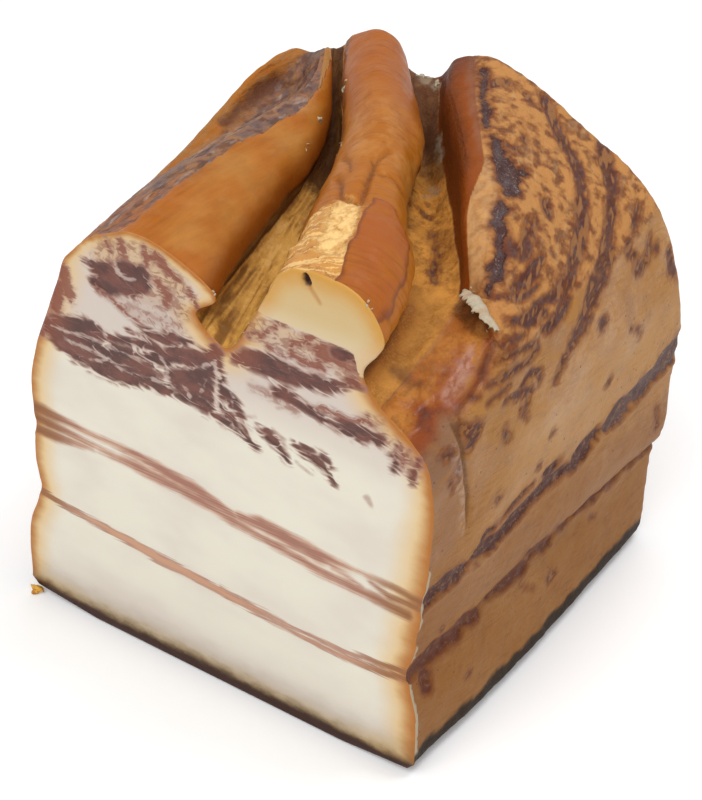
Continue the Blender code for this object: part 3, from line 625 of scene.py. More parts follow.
def zones(s):
    """The parts of the skin: each from 0 to 1, or how far inside it a point lies, in millimetres."""
    wobble = s.lumps(3.0, 3.0, 3.0, 5.0)
    edge = np.array(ROLL_SKIN_EDGE)
    skinned = rise(s.x - np.interp(s.y, edge[:, 0], edge[:, 1]) + 0.5 * wobble, -0.25, 0.25)
    ledge = s.y + 0.5 * (s.x - 37.0) + 0.7 * wobble   # y, with the slant of the lobe's step taken out
    behind_step = rise(ledge, -16.6, -15.6)
    wall_wide = rise(s.y + wobble, -3.0, 9.0)   # at the far end the dark wall reaches up to the crest
    right = s.on("rind right corner", "flank middle")
    flank = s.on("right upper fat", "ridge right foot")
    ridge_top = s.on("ridge right side", "ridge left side")
    ridge_right = ridge_top | s.on("ridge right foot", "ridge crest")
    left = s.line > NUMBER["left brow"]
    lobe_top = (s.over("flank foot", "lobe inner edge", 0.3) > 0.2) & (s.y > -18)
    left_streak = np.minimum(s.near("left upper streak", 1.9, 8.0), 1.6) + 0.9 * s.lumps(9.0, 6.0, 3.0, 7.0)
    left_lower = s.near("left lower streak", 1.5, 8.0) + 0.9 * s.lumps(9.0, 5.0, 3.0, 8.0)
    left_meat = 2.2 - np.abs(s.z - 71.0 + 2.5 * s.lumps(20.0, 14.0, 20.0, 9.0)) * 0.6
    chalk = 1.1 - np.abs(s.y - crease_place(s) + 1.6) - 4.0 * rise(np.abs(s.z - 62.0), 9.0, 14.0)
    whole, plan, side = (s.x, s.y, s.z), (s.x, s.y), (s.y, s.z)
    wavy_plan = (s.x + 0.8 * s.lumps(3.5, 3.5, 3.5, 3.0), s.y + 1.0 * s.lumps(4.0, 4.0, 4.0, 1.0))
    wavy_side = (wavy_plan[1], s.z + 0.7 * s.lumps(3.0, 3.0, 3.0, 2.0))

    def marks(region, place, strands):
        return np.where(region, strand_field(place, strands), OUTSIDE)

    def band(region, x, y, edges):
        return np.where(region, band_field(x, y, edges), OUTSIDE)

    return {
        "roll": s.over("lip underside", "left brow", 0.3) * skinned * (s.line < NUMBER["outer hollow"]),
        "bare": s.over("roll brow", "outer rim", 0.25) * (1 - skinned),
        "ridge": s.over("ridge right foot", "ridge left foot", 0.25),
        "strip": s.over("ridge left side", "lip underside", 0.3),
        # Where shade is painted under the roll's lip.
        "under_lip_shade": np.maximum(s.over("lip underside", "lip", 0.3),
                             s.over("ridge left foot", "lip", 0.3) * rise(s.y, -4.0, 12.0)),
        "plain": (s.past("lobe crest", 0.3, 0.3, 0.25 * rise(s.y, -12.0, 0.0))
                  * (1 - s.past("lobe inner edge", 0.1, 0.2))
                  * rise(s.y, -17.5, -15.5) * (1 - rise(s.y, 4.0, 10.0))),
        "wall_drop": np.clip(s.line + wall_wide - NUMBER["lobe inner edge"], 0.0, 1.0),
        # Where shade is painted at the ridge's feet.
        "ridge_foot_shade": np.maximum(s.near("ridge left side", 1.2, 3.0), s.near("ridge right foot", 1.2, 3.0)),
        "roll_top": s.near("roll brow", 1.4, 1.4),
        # Where the roll darkens towards its lip: partly its own tone, partly painted shade.
        "lip_dark_and_shade": s.near("lip", 1.6, 2.4),
        "valley": s.over("lobe wall foot", "ridge right foot", 0.25),
        "wall": (s.past("lobe inner edge", 0.12, 0.12, wall_wide) * (1 - s.past("lobe wall foot", 0.12, 0.12))
                 * rise(s.y + wobble, -17.5, -14.5)),
        "lobe": s.over("flank foot", "lobe inner edge", 0.25) * behind_step,
        "shelf": s.over("flank middle", "lobe wall foot", 0.5) * (1 - behind_step),
        "ledge": ledge,
        "outer": s.near("outer rim", 1.0, 1.4, 0.1),
        "membrane": band(ridge_right, s.x + 0.4 * wobble, s.y + 0.5 * wobble, MEMBRANE_EDGES),
        "scraped": band(ridge_top, s.x, s.y + 0.4 * wobble, SCRAPED_EDGES),
        "flaky": band(ridge_top, s.x, s.y, FLAKY_EDGES),
        "streak": np.maximum(marks(right, wavy_side, RIGHT_STREAKS),
                             np.where(left, np.maximum(left_streak, left_lower), OUTSIDE)),
        "lean": np.maximum.reduce([
            marks(flank, whole, LOBE_LEAN), marks(right, side, RIGHT_SPOTS),
            marks(s.on("lobe wall foot", "ridge right side"), plan, VALLEY_MARKS),
            np.where(left, left_meat, OUTSIDE)]),
        "grey": marks(lobe_top, wavy_plan, LOBE_MARKS),
        "fold": marks(s.on("roll crest", "left brow"), wavy_plan, OUTER_FOLDS),
        "thread": marks(flank, whole, LOBE_THREADS),
        "stain": marks(flank, whole, STAINS),
        "red": marks(flank, whole, RED_PATCH),
        "pink": marks(flank, whole, PINK_PATCH),
        "pale": marks(s.over("lobe wall foot", "ridge right foot", 0.3) > 0.1, plan, VALLEY_PALE),
        "crack": marks(ridge_top, plan, RIDGE_CRACKS),
        "crease": crease(s),
        "chalk": np.where(right, chalk, OUTSIDE),
        "chip": chips(s),
        "soot": sooty(s.z + 0.9 * s.lumps(4.0, 4.0, 4.0, 6.0)),
    }


def sooty(z):
    """How much soot lies at each height over the rind, from 0 to 1."""
    return 1 - rise(z, RIND_TOP + 0.4, RIND_TOP + 4.0)


def crease_place(s):
    """Depth y of the leaning crease at each height."""
    return -36.4 + 0.157 * (72.0 - s.z) + 0.5 * s.lumps(9.0, 9.0, 6.0, 4.0)


def crease(s):
    """Depth of the upright crease on the right side near the cut and of its branch, from 0 to 1."""
    height = rise(s.z, 46.0, 58.0) * (1 - rise(s.z, 74.0, 78.0))
    upright = np.exp(-((s.y - crease_place(s)) / 0.8)**2) * height
    branch = rise(strand_field((s.x, s.y, s.z), CREASE_BRANCH), -1.0, 0.3)
    return np.maximum(upright * s.over("right upper streak", "flank middle", 0.1), 0.65 * branch)


def chips(s):
    """Pale chipped edge of the skin beside the knife cut: above 0 inside a chip."""
    upright = sum(rise(s.z, low - 0.6, low + 0.6) * (1 - rise(s.z, high - 0.6, high + 0.6))
                  for low, high in CHIPPED_HEIGHTS)
    right = s.over("rind right corner", "flank foot", 0.05)
    return upright * right * (0.75 + 0.45 * s.lumps(2.0, 2.0, 1.3, 22.0)) - (s.y - FRONT) / 1.6 - 0.02


def relief(s, zone):
    """How far the skin stands out from the smooth outline, in millimetres."""
    top = s.over("flank foot", "left brow", 0.3)
    height = 0.28 * s.lumps(9.0, 11.0, 9.0, 1.0) + 0.14 * s.lumps(3.4, 4.0, 3.4, 2.0)
    height += (1 - zone["roll"]) * (1 - 0.5 * top) * 0.10 * s.lumps(1.6, 1.8, 1.6, 3.0)
    height += zone["roll"] * (0.22 * s.lumps(4.0, 20.0, 4.0, 4.0) + 0.07 * s.lumps(2.0, 2.6, 2.0, 5.0))
    height -= zone["bare"] * (0.55 - 0.34 * s.lumps(1.7, 14.0, 2.0, 6.0))
    wrinkled = zone["ridge"] * (1 - rise(s.y, 0.0, 14.0))
    height += wrinkled * 0.13 * s.lumps(9.0, 1.1, 9.0, 7.0)
    height += zone["ridge"] * 0.20 * s.lumps(5.0, 4.0, 5.0, 8.0)
    height -= 0.9 * rise(zone["crack"], -0.9, 0.3)
    height -= rise(zone["scraped"], -0.2, 0.5) * (0.35 + 0.30 * s.lumps(1.3, 1.3, 1.3, 9.0))
    height -= rise(zone["flaky"], -0.2, 0.8) * (0.25 + 0.55 * s.lumps(3.4, 1.3, 1.8, 10.0))
    height += rise(zone["membrane"], -0.1, 0.5) * (0.22 + 0.06 * s.lumps(6.0, 0.9, 6.0, 11.0))
    height += zone["valley"] * (0.35 * s.lumps(3.0, 4.0, 3.0, 12.0) + 0.15 * s.lumps(1.3, 1.6, 1.3, 13.0))
    height += zone["strip"] * 0.25 * s.lumps(2.0, 1.4, 2.0, 14.0)
    height += zone["lobe"] * 0.22 * s.lumps(1.8, 7.0, 1.8, 15.0)
    height += zone["lobe"] * 0.5 * (1 - rise(zone["ledge"], -14.0, -8.0))
    height -= zone["shelf"] * 0.6 * rise(zone["ledge"], -21.0, -17.0)
    height += rise(zone["grey"], -0.3, 0.5) * 0.3 * s.lumps(1.2, 1.4, 1.2, 21.0)
    height += zone["shelf"] * (0.30 * s.lumps(2.6, 3.4, 2.6, 16.0) + 0.16 * s.lumps(1.2, 1.2, 1.2, 17.0))
    height -= rise(zone["lean"], -0.5, 0.8) * 0.30 + rise(zone["thread"], -0.7, 0.5) * 0.28
    height -= rise(zone["grey"], -0.5, 0.8) * 0.45
    height -= rise(zone["fold"], -0.8, 0.6) * 0.5
    height -= rise(zone["streak"], -0.8, 1.2) * (0.55 + 0.35 * s.lumps(2.2, 2.2, 2.2, 18.0))
    height += rise(zone["streak"], -2.2, -0.8) * (1 - rise(zone["streak"], -0.8, 0.2)) * 0.16
    height -= 0.75 * zone["crease"]
    height += rise(zone["pink"], -0.6, 0.4) * 0.25 * s.lumps(1.1, 1.1, 1.1, 19.0)
    height += 0.12 * zone["soot"] * s.lumps(1.6, 1.6, 1.6, 20.0)
    height *= 0.45 + 0.55 * rise(s.y, FRONT, FRONT + 4.0)
    return height + 0.45 * rise(zone["chip"], -0.2, 0.3)


def skin_rings(sizes):
    """The block's rings of points in millimetres, pushed out by their relief, and what each point shows."""
    t = np.linspace(0.0, 1.0, sizes.rings)
    depths = FRONT + (BACK - END_ROUND - FRONT) * (EVEN_SHARE * t + (1 - EVEN_SHARE) * t * t)
    angles = 0.5 * math.pi * np.arange(1, END_RINGS + 1) / END_RINGS
    rounding = BACK - END_ROUND + END_ROUND * np.sin(angles)
    shrink = 1 - END_ROUND * (1 - np.cos(angles)) / (0.5 * (BACK - FRONT))
    spacing = np.full(len(LINES), sizes.skin_step / MM)
    spacing[:NUMBER["rind right corner"]] = sizes.hidden_step / MM
    spacing[NUMBER["left brow"]:] = sizes.hidden_step / MM
    spacing[NUMBER["underside left"]] *= 3   # the underside is flat
    outline, line = outlines(np.concatenate([depths, rounding]), spacing)
    size = np.concatenate([np.ones(len(depths)), shrink])[:, None]
    y = np.concatenate([depths, rounding])[:, None] + 0 * line
    x = outline[..., 0] * size
    z = END_CENTRE_Z + (outline[..., 1] - END_CENTRE_Z) * size
    points = np.stack([x, y, z], -1)
    around = np.roll(points, -1, 1) - np.roll(points, 1, 1)
    along = np.gradient(points, axis=0)
    normal = np.cross(along, around)
    normal[..., 1] *= rise(y, FRONT, FRONT + 5.0)   # beside the cut, points move within its plane
    normal /= length_of(normal)
    spots = Spots(points, line)
    zone = zones(spots)
    push = relief(spots, zone) * rise(z, 0.4, 2.6) * (1 - 0.4 * rise(y, BACK - END_ROUND, BACK))
    low = spots.line < NUMBER["right lower fat"]
    points = points + normal * np.where(low, np.minimum(push, RIND_RELIEF), push)[..., None]
    points[..., 1] = np.clip(points[..., 1], FRONT, BACK)
    return points, line, zone


def inside_outline(points, outline):
    """Which points lie inside the closed outline, and how far each is from it."""
    start, end = outline, np.roll(outline, -1, 0)
    run = end - start
    inside = np.zeros(len(points), bool)
    gap = np.full(len(points), 1e9)
    for (ax, az), (_, bz), (rx, rz) in zip(start, end, run):
        px, pz = points[:, 0] - ax, points[:, 1] - az
        t = np.clip((px * rx + pz * rz) / max(rx * rx + rz * rz, 1e-12), 0.0, 1.0)
        gap = np.minimum(gap, np.hypot(px - t * rx, pz - t * rz))
        crosses = (az > points[:, 1]) != (bz > points[:, 1])
        if crosses.any():
            at = ax + rx * (points[:, 1] - az) / (rz if rz else 1e-12)
            inside ^= crosses & (points[:, 0] < at)
    return inside, gap


def filled(outline, step):
    """Points inside a closed outline on a triangular grid, and the triangles of the whole face."""
    low, high = outline.min(0), outline.max(0)
    rows = np.arange(low[1], high[1], step * math.sqrt(0.75))
    grid = []
    for number, z in enumerate(rows):
        x = np.arange(low[0] + (0.5 * step if number % 2 else 0.0), high[0], step)
        grid.append(np.stack([x, np.full(len(x), z)], 1))
    grid = np.concatenate(grid)
    inside, gap = inside_outline(grid, outline)
    grid = grid[inside & (gap > 0.45 * step)]   # points close to the outline would make slivers
    corners = [Vector(p) for p in np.concatenate([outline, grid])]
    made = delaunay_2d_cdt(corners, [], [list(range(len(outline)))], 1, 1e-7)
    flat = np.array([tuple(p) for p in made[0]])
    if len(flat) != len(corners):
        raise RuntimeError("the face's triangles changed its points")
    triangles = np.array(made[2])
    a, b, c = (flat[triangles[:, k]] for k in range(3))
    turn = (b[:, 0] - a[:, 0]) * (c[:, 1] - a[:, 1]) - (b[:, 1] - a[:, 1]) * (c[:, 0] - a[:, 0])
    triangles[turn < 0] = triangles[turn < 0][:, ::-1]
    return grid, triangles


def cut_fields(x, z, edge):
    """What the knife cut shows at each point: the lean, its tones, the cartilage and the smoked edge."""
    wx = x + 0.5 * LUMPS.at(x / 2.4, 3.1, z / 1.8)
    wz = z + 0.4 * LUMPS.at(x / 2.8, 9.4, z / 1.8) + 0.12 * LUMPS.at(x / 1.4, 5.2, z / 1.1)
    calm_x = x + 0.3 * LUMPS.at(x / 4.0, 1.1, z / 3.0)
    calm_z = z + 0.3 * LUMPS.at(x / 5.0, 2.2, z / 3.0)
    foot = np.array(CARTILAGE_FOOT)
    bone = np.minimum(z - np.interp(x, foot[:, 0], foot[:, 1]), x - CARTILAGE_LEFT)
    return {
        "cut_dark": strand_field((wx, wz), DARK_LEAN),
        "cut_warm": strand_field((wx, wz), WARM_LEAN),
        "cut_faint": strand_field((wx, wz), FAINT_LEAN),
        "cut_vein": strand_field((calm_x, calm_z), VEINS),
        "cut_mottle": strand_field((wx, wz), MOTTLED),
        "cut_lower": strand_field((calm_x, calm_z), LOWER_STREAK),
        "cut_upper": strand_field((calm_x, calm_z), UPPER_STREAK),
        "cut_bone": bone,
        "cut_hole": strand_field((x, z), MARROW_HOLE),
        "cut_groove": strand_field((x, z), MARROW_GROOVE),
        "cut_edge": edge,
    }


def cut_relief(x, z, fields):
    """How far the knife cut stands out, in millimetres: dried lean sinks and the cartilage stands proud."""
    height = 0.12 * LUMPS.at(x / 14.0, 0.3, z / 11.0) + 0.03 * LUMPS.at(x / 3.0, 0.7, z / 2.4)
    height -= 0.14 * rise(fields["cut_dark"], -0.4, 0.6) + 0.10 * rise(fields["cut_warm"], -0.4, 0.5)
    height -= 0.08 * rise(fields["cut_lower"], -0.6, 0.8) + 0.08 * rise(fields["cut_upper"], -0.6, 0.8)
    height += 0.18 * rise(fields["cut_bone"], -0.1, 0.5)
    height -= 1.6 * rise(fields["cut_hole"], -0.35, 0.2) + 0.12 * rise(fields["cut_groove"], -0.5, 0.3)
    return height * rise(fields["cut_edge"], 0.0, 0.7)


def cut_face(rim, inner, step):
    """The knife cut inside its worn edge: its points, its triangles and what it shows."""
    grid, faces = filled(inner, step)
    flat = np.concatenate([inner, grid])
    x, z = flat.T
    _, edge = inside_outline(flat, rim)
    shown = cut_fields(x, z, edge)
    y = FRONT - cut_relief(x, z, shown)
    y[:len(inner)] = FRONT
    return np.stack([x, y, z], 1), faces, shown


def far_face(rim, step):
    """The smoked far end inside its rim: its points, its triangles and the lean in it."""
    grid, faces = filled(rim, step)
    x, z = grid.T
    s = Spots(np.stack([x, np.full(len(x), BACK), z], 1))
    lean = strand_field((x + s.lumps(4.0, 4.0, 3.0, 1.0), z + s.lumps(5.0, 4.0, 3.0, 2.0)), BACK_LEAN)
    _, gap = inside_outline(grid, rim)
    dents = (0.45 * rise(lean, -0.6, 1.2) + 0.25 * s.lumps(8.0, 8.0, 6.0, 3.0)
             + 0.16 * s.lumps(3.0, 3.0, 2.2, 4.0) + 0.2)
    y = BACK - np.maximum(dents, 0.0) * rise(gap, 0.0, 2.0)
    return np.stack([x, y, z], 1), faces, lean


def block_mesh(sizes):
    """The whole block as one closed mesh, with what its materials read stored on its points."""
    skin, line, zone = skin_rings(sizes)
    rings, columns = skin.shape[:2]
    rim = skin[0][:, [0, 2]]
    along = np.roll(rim, -1, 0) - np.roll(rim, 1, 0)
    outward = np.stack([along[:, 1], -along[:, 0]], 1)
    outward /= length_of(outward)
    bevel = sizes.cut_bevel / MM
    skin[0, :, 1] = FRONT + bevel
    front, front_faces, cut = cut_face(rim, rim - bevel * outward, sizes.cut_step / MM)
    back, back_faces, back_lean = far_face(skin[-1][:, [0, 2]], sizes.back_step / MM)

    body = skin.reshape(-1, 3)
    first, back_start = len(body), len(body) + len(front)
    i, j = np.meshgrid(np.arange(rings - 1), np.arange(columns), indexing="ij")
    here, beside = i * columns + j, i * columns + (j + 1) % columns
    walls = np.stack([here, here + columns, beside + columns, beside], -1).reshape(-1, 4)
    ring, after = here[0], beside[0]
    lips = np.stack([first + ring, ring, after, first + after], 1)
    last = (rings - 1) * columns
    back_index = np.where(back_faces < columns, last + back_faces, back_start + back_faces - columns)

    mesh = bpy.data.meshes.new("bacon_block")
    mesh.from_pydata((np.concatenate([body, front, back]) * MM).tolist(), [], (
        walls.tolist() + lips.tolist() + (front_faces + first).tolist() + back_index[:, ::-1].tolist()))
    slots = np.concatenate([
        np.tile(np.where(line < NUMBER["rind right corner"], RIND_SLOT, SKIN_SLOT), rings - 1),
        np.full(len(lips) + len(front_faces), CUT_SLOT), np.full(len(back_faces), SKIN_SLOT)])
    mesh.polygons.foreach_set("material_index", slots.astype(np.int32))
    on_back = {"streak": np.full(len(back), OUTSIDE), "lean": back_lean, "soot": sooty(back[:, 2])}
    for name, values in zone.items():
        store(mesh, name, values, (0, values), (back_start, on_back.get(name, values[:0])))
    for name, values in cut.items():
        store(mesh, name, values, (first, values), (0, values[:columns]))
    mesh.shade_smooth()
    mesh.update()
    return mesh


def store(mesh, name, values, *parts):
    """Write one number a point: the lowest of values, then each part's from its first point on."""
    numbers = np.full(len(mesh.vertices), float(values.min()))
    for start, part in parts:
        numbers[start:start + part.size] = part.reshape(-1)
    mesh.attributes.new(name, "FLOAT", "POINT").data.foreach_set("value", numbers.astype(np.float32))


class Socket:
    """A shader socket in a Python expression: each operator adds the Math node that it stands for."""

    def __init__(self, finish, link):
        self.finish, self.link = finish, link

    def math(self, operation, *others):
        sockets = dict(enumerate((self, *others)))
        return self.finish.node("ShaderNodeMath", {"operation": operation}, sockets)

    def __add__(self, other):
        return self.math("ADD", other)

    __radd__ = __add__

    def __mul__(self, other):
        return self.math("MULTIPLY", other)

    __rmul__ = __mul__

    def __sub__(self, other):
        return self.math("SUBTRACT", other)

    def __rsub__(self, other):
        return (self * -1.0) + other

    def over(self, other):
        return self.math("MAXIMUM", other)

    def under(self, other):
        return self.math("MINIMUM", other)

    def step(self, low, high):
        """Smooth step from 0 at low to 1 at high."""
        return self.finish.node("ShaderNodeMapRange", {"interpolation_type": "SMOOTHSTEP"},
                                {"Value": self, "From Min": low, "From Max": high})


class Finish:
    """One material's nodes. Lengths in its noises are millimetres."""

    SHARE, UNDER, OVER = 0, 6, 7   # inputs of a Mix node for colours
    MIXED = 2                      # its output

    def __init__(self, name):
        self.material = bpy.data.materials.new(name)
        self.material.use_nodes = True
        self.nodes = self.material.node_tree.nodes
        self.links = self.material.node_tree.links
        self.nodes.clear()
        self.place = self.node("ShaderNodeTexCoord", {}, {}, "Object")

    def node(self, kind, settings, sockets, output=0):
        """Add a node, set it up, then give its sockets their values or links."""
        made = self.nodes.new(kind)
        for name, value in settings.items():
            setattr(made, name, value)
        for name, value in sockets.items():
            socket = made.inputs[name]
            if isinstance(value, Socket):
                self.links.new(value.link, socket)
            elif socket.type == "RGBA" and len(value) == 3:
                socket.default_value = (*value, 1.0)
            else:
                socket.default_value = value
        return Socket(self, made.outputs[output]) if made.outputs else None

    def mark(self, name):
        """A number stored on the mesh's points."""
        return self.node("ShaderNodeAttribute", {"attribute_name": name}, {}, "Fac")

    def noise(self, lengths, detail=2.0, rough=0.5, twist=0.0, seed=0.0, turn=(0.0, 0.0, 0.0)):
        """Noise from 0 to 1 whose lumps have these lengths in millimetres along x, y and z."""
        turned = self.node("ShaderNodeMapping", {"vector_type": "TEXTURE"},
                           {"Vector": self.place, "Rotation": turn})
        spot = self.scaled(turned, lengths, (seed, 1.7 * seed, 2.9 * seed))
        return self.node("ShaderNodeTexNoise", {}, {
            "Vector": spot, "Scale": 1.0, "Detail": detail, "Roughness": rough, "Distortion": twist})

    def scaled(self, place, lengths, location):
        """A place counted in lengths given in millimetres, and moved on."""
        scale = tuple(1.0 / (MM * length) for length in lengths)
        return self.node("ShaderNodeMapping", {}, {"Vector": place, "Scale": scale, "Location": location})

    def axis(self, name):
        """A coordinate in millimetres."""
        return self.node("ShaderNodeSeparateXYZ", {}, {"Vector": self.place}, name) * (1 / MM)

    def lines(self, noise, sharp):
        """Thin lines, from 0 to 1, where a noise passes its middle."""
        return (1.0 - (noise - 0.5).math("ABSOLUTE") * sharp).over(0.0)

    def cells(self, length, seed=0.0):
        """Distance from 0 to about 1 to the nearest of scattered points about length millimetres apart."""
        spot = self.scaled(self.place, (length,) * 3, (seed,) * 3)
        return self.node("ShaderNodeTexVoronoi", {}, {"Vector": spot, "Scale": 1.0}, "Distance")

    def layers(self, colour, *coats):
        """A colour under coats, from the lowest to the topmost, each a colour and how much of it shows."""
        for coat, share in coats:
            sockets = {self.SHARE: share, self.UNDER: colour, self.OVER: coat}
            colour = self.node("ShaderNodeMix", {"data_type": "RGBA"}, sockets, self.MIXED)
        return colour

    def skin(self, colour, roughness, height, depth, **uniform):
        """Close the material with a Principled shader. depth is the bump's height in millimetres."""
        normal = self.node("ShaderNodeBump", {}, {"Height": height, "Distance": depth * MM, "Strength": 1.0})
        sockets = {"Base Color": colour, "Roughness": roughness, "Normal": normal}
        sockets.update({name.replace("_", " "): value for name, value in uniform.items()})
        shader = self.node("ShaderNodeBsdfPrincipled", {}, sockets)
        self.node("ShaderNodeOutputMaterial", {}, {"Surface": shader})
        return self.material


def screen(code):
    """A colour given by its screen code, as the linear values that shaders use."""
    values = [int(code[k:k + 2], 16) / 255 for k in (0, 2, 4)]
    return tuple(v / 12.92 if v <= 0.04045 else ((v + 0.055) / 1.055)**2.4 for v in values)


def tone(name, description, code):
    return bpy.props.FloatVectorProperty(name=name, description=description, subtype="COLOR", size=3,
                                         min=0.0, max=1.0, default=screen(code))


def measure(name, description, millimetres):
    return bpy.props.FloatProperty(name=name, description=description, unit="LENGTH", precision=5,
                                   default=millimetres * MM)


class BaconSizes(bpy.types.PropertyGroup):
    """Steps of the block's fine mesh."""

    rings: bpy.props.IntProperty(name="Rings", description="Outlines between the knife cut and the far end",
                                 default=108, min=20)
    skin_step: measure("Skin step", "Distance between points round the right side and the top", 0.80)
    hidden_step: measure("Left step", "Distance between points on the left side and the rind", 1.2)
    cut_step: measure("Cut step", "Distance between points on the knife cut", 0.54)
    back_step: measure("Far end step", "Distance between points on the smoked far end", 1.15)
    cut_bevel: measure("Cut edge", "Width of the worn edge round the knife cut", 0.22)


class BaconColours(bpy.types.PropertyGroup):
    """Colours of the fat, the lean and the smoked skin."""

    fat: tone("Fat", "White back fat on the cut", "DED8C8")
    pink_fat: tone("Pink fat", "Fat next to the rind and between the muscles", "CABCB2")
    cream: tone("Cream", "Fat that the smoke has yellowed", "D8B26C")
    amber: tone("Amber", "Outermost fat of the cut", "A86014")
    lean: tone("Lean", "Dark muscle on the cut", "4A2C29")
    warm_lean: tone("Warm lean", "Muscle near the edge, browned by smoke", "824430")
    faint_lean: tone("Faint lean", "Thin brown threads of lean", "9C7466")
    lower_streak: tone("Lower streak", "Thin lower layer of lean", "BE8560")
    upper_streak: tone("Upper streak", "Thin upper layer of lean", "8C5245")
    bone: tone("Cartilage", "Rib cartilage", "CAAF7E")
    bone_edge: tone("Cartilage edge", "Outer band of the rib cartilage", "C8923F")
    rind: tone("Rind", "Dark smoked rind", "38190D")
    tan: tone("Smoked fat", "Smoked skin of the sides", "A8753C")
    tan_dark: tone("Dark smoked fat", "Darker patches of the sides", "845426")
    tan_light: tone("Pale smoked fat", "Paler patches of the sides", "C69A68")
    roll: tone("Roll", "Glossy skin of the rolled edge", "A96017")
    roll_dark: tone("Dark roll", "Shaded skin of the rolled edge", "743708")
    ridge: tone("Ridge", "Glossy skin over the rib", "A86218")
    ridge_far: tone("Far ridge", "Skin over the rib at the far end", "A45A20")
    membrane: tone("Membrane", "Red skin on the ridge", "A25620")
    scraped: tone("Scraped", "Pale cartilage where the skin is scraped off", "F6CC86")
    flaky: tone("Flaky", "Torn skin on the ridge", "C68C48")
    valley: tone("Valley", "Skin between the ridge and the lobe", "E29E48")
    wall: tone("Lobe wall", "Inner wall of the lobe", "8A4412")
    lobe: tone("Lobe", "Marbled skin of the lobe", "BA8249")
    lobe_dark: tone("Brown marbling", "Brown mottles in the lobe's skin", "743C20")
    skin_lean: tone("Smoked lean", "Dried lean in the skin", "4C2B27")
    grey_lean: tone("Grey lean", "Dried grey lean in the skin", "5F5254")
    bare: tone("Bare meat", "Dried meat left of the roll", "8E6650")
    red: tone("Red shelf", "Dried red meat in front of the lobe", "86390F")
    pink: tone("Pink shelf", "Pink moist patch in front of the lobe", "A87868")
    crumb: tone("Torn fat", "Whitish torn crumbs", "B2A68E")
    soot: tone("Soot", "Side of the rind", "2B2520")
    # Painted shade: this dark brown is painted into furrows, cracks, the crease, rib grooves, under the
    # roll's lip, at the ridge's feet, down the lobe's wall and under the torn flake.
    furrow_shade: tone("Deep brown", "Skin at the bottom of the furrows", "42200E")
    rib_tan: tone("Ribbed fat", "Ribbed skin of the ridge's left side", "CC984A")
    scrap: tone("Scrap", "Yellow scrap at the rind's corner", "E0A838")
    rind_fade: tone("Rind fade", "Fat stained by the rind", "66502F")
    vein: tone("Vein", "Thin fat between the fibres of lean", "CDB8AC")


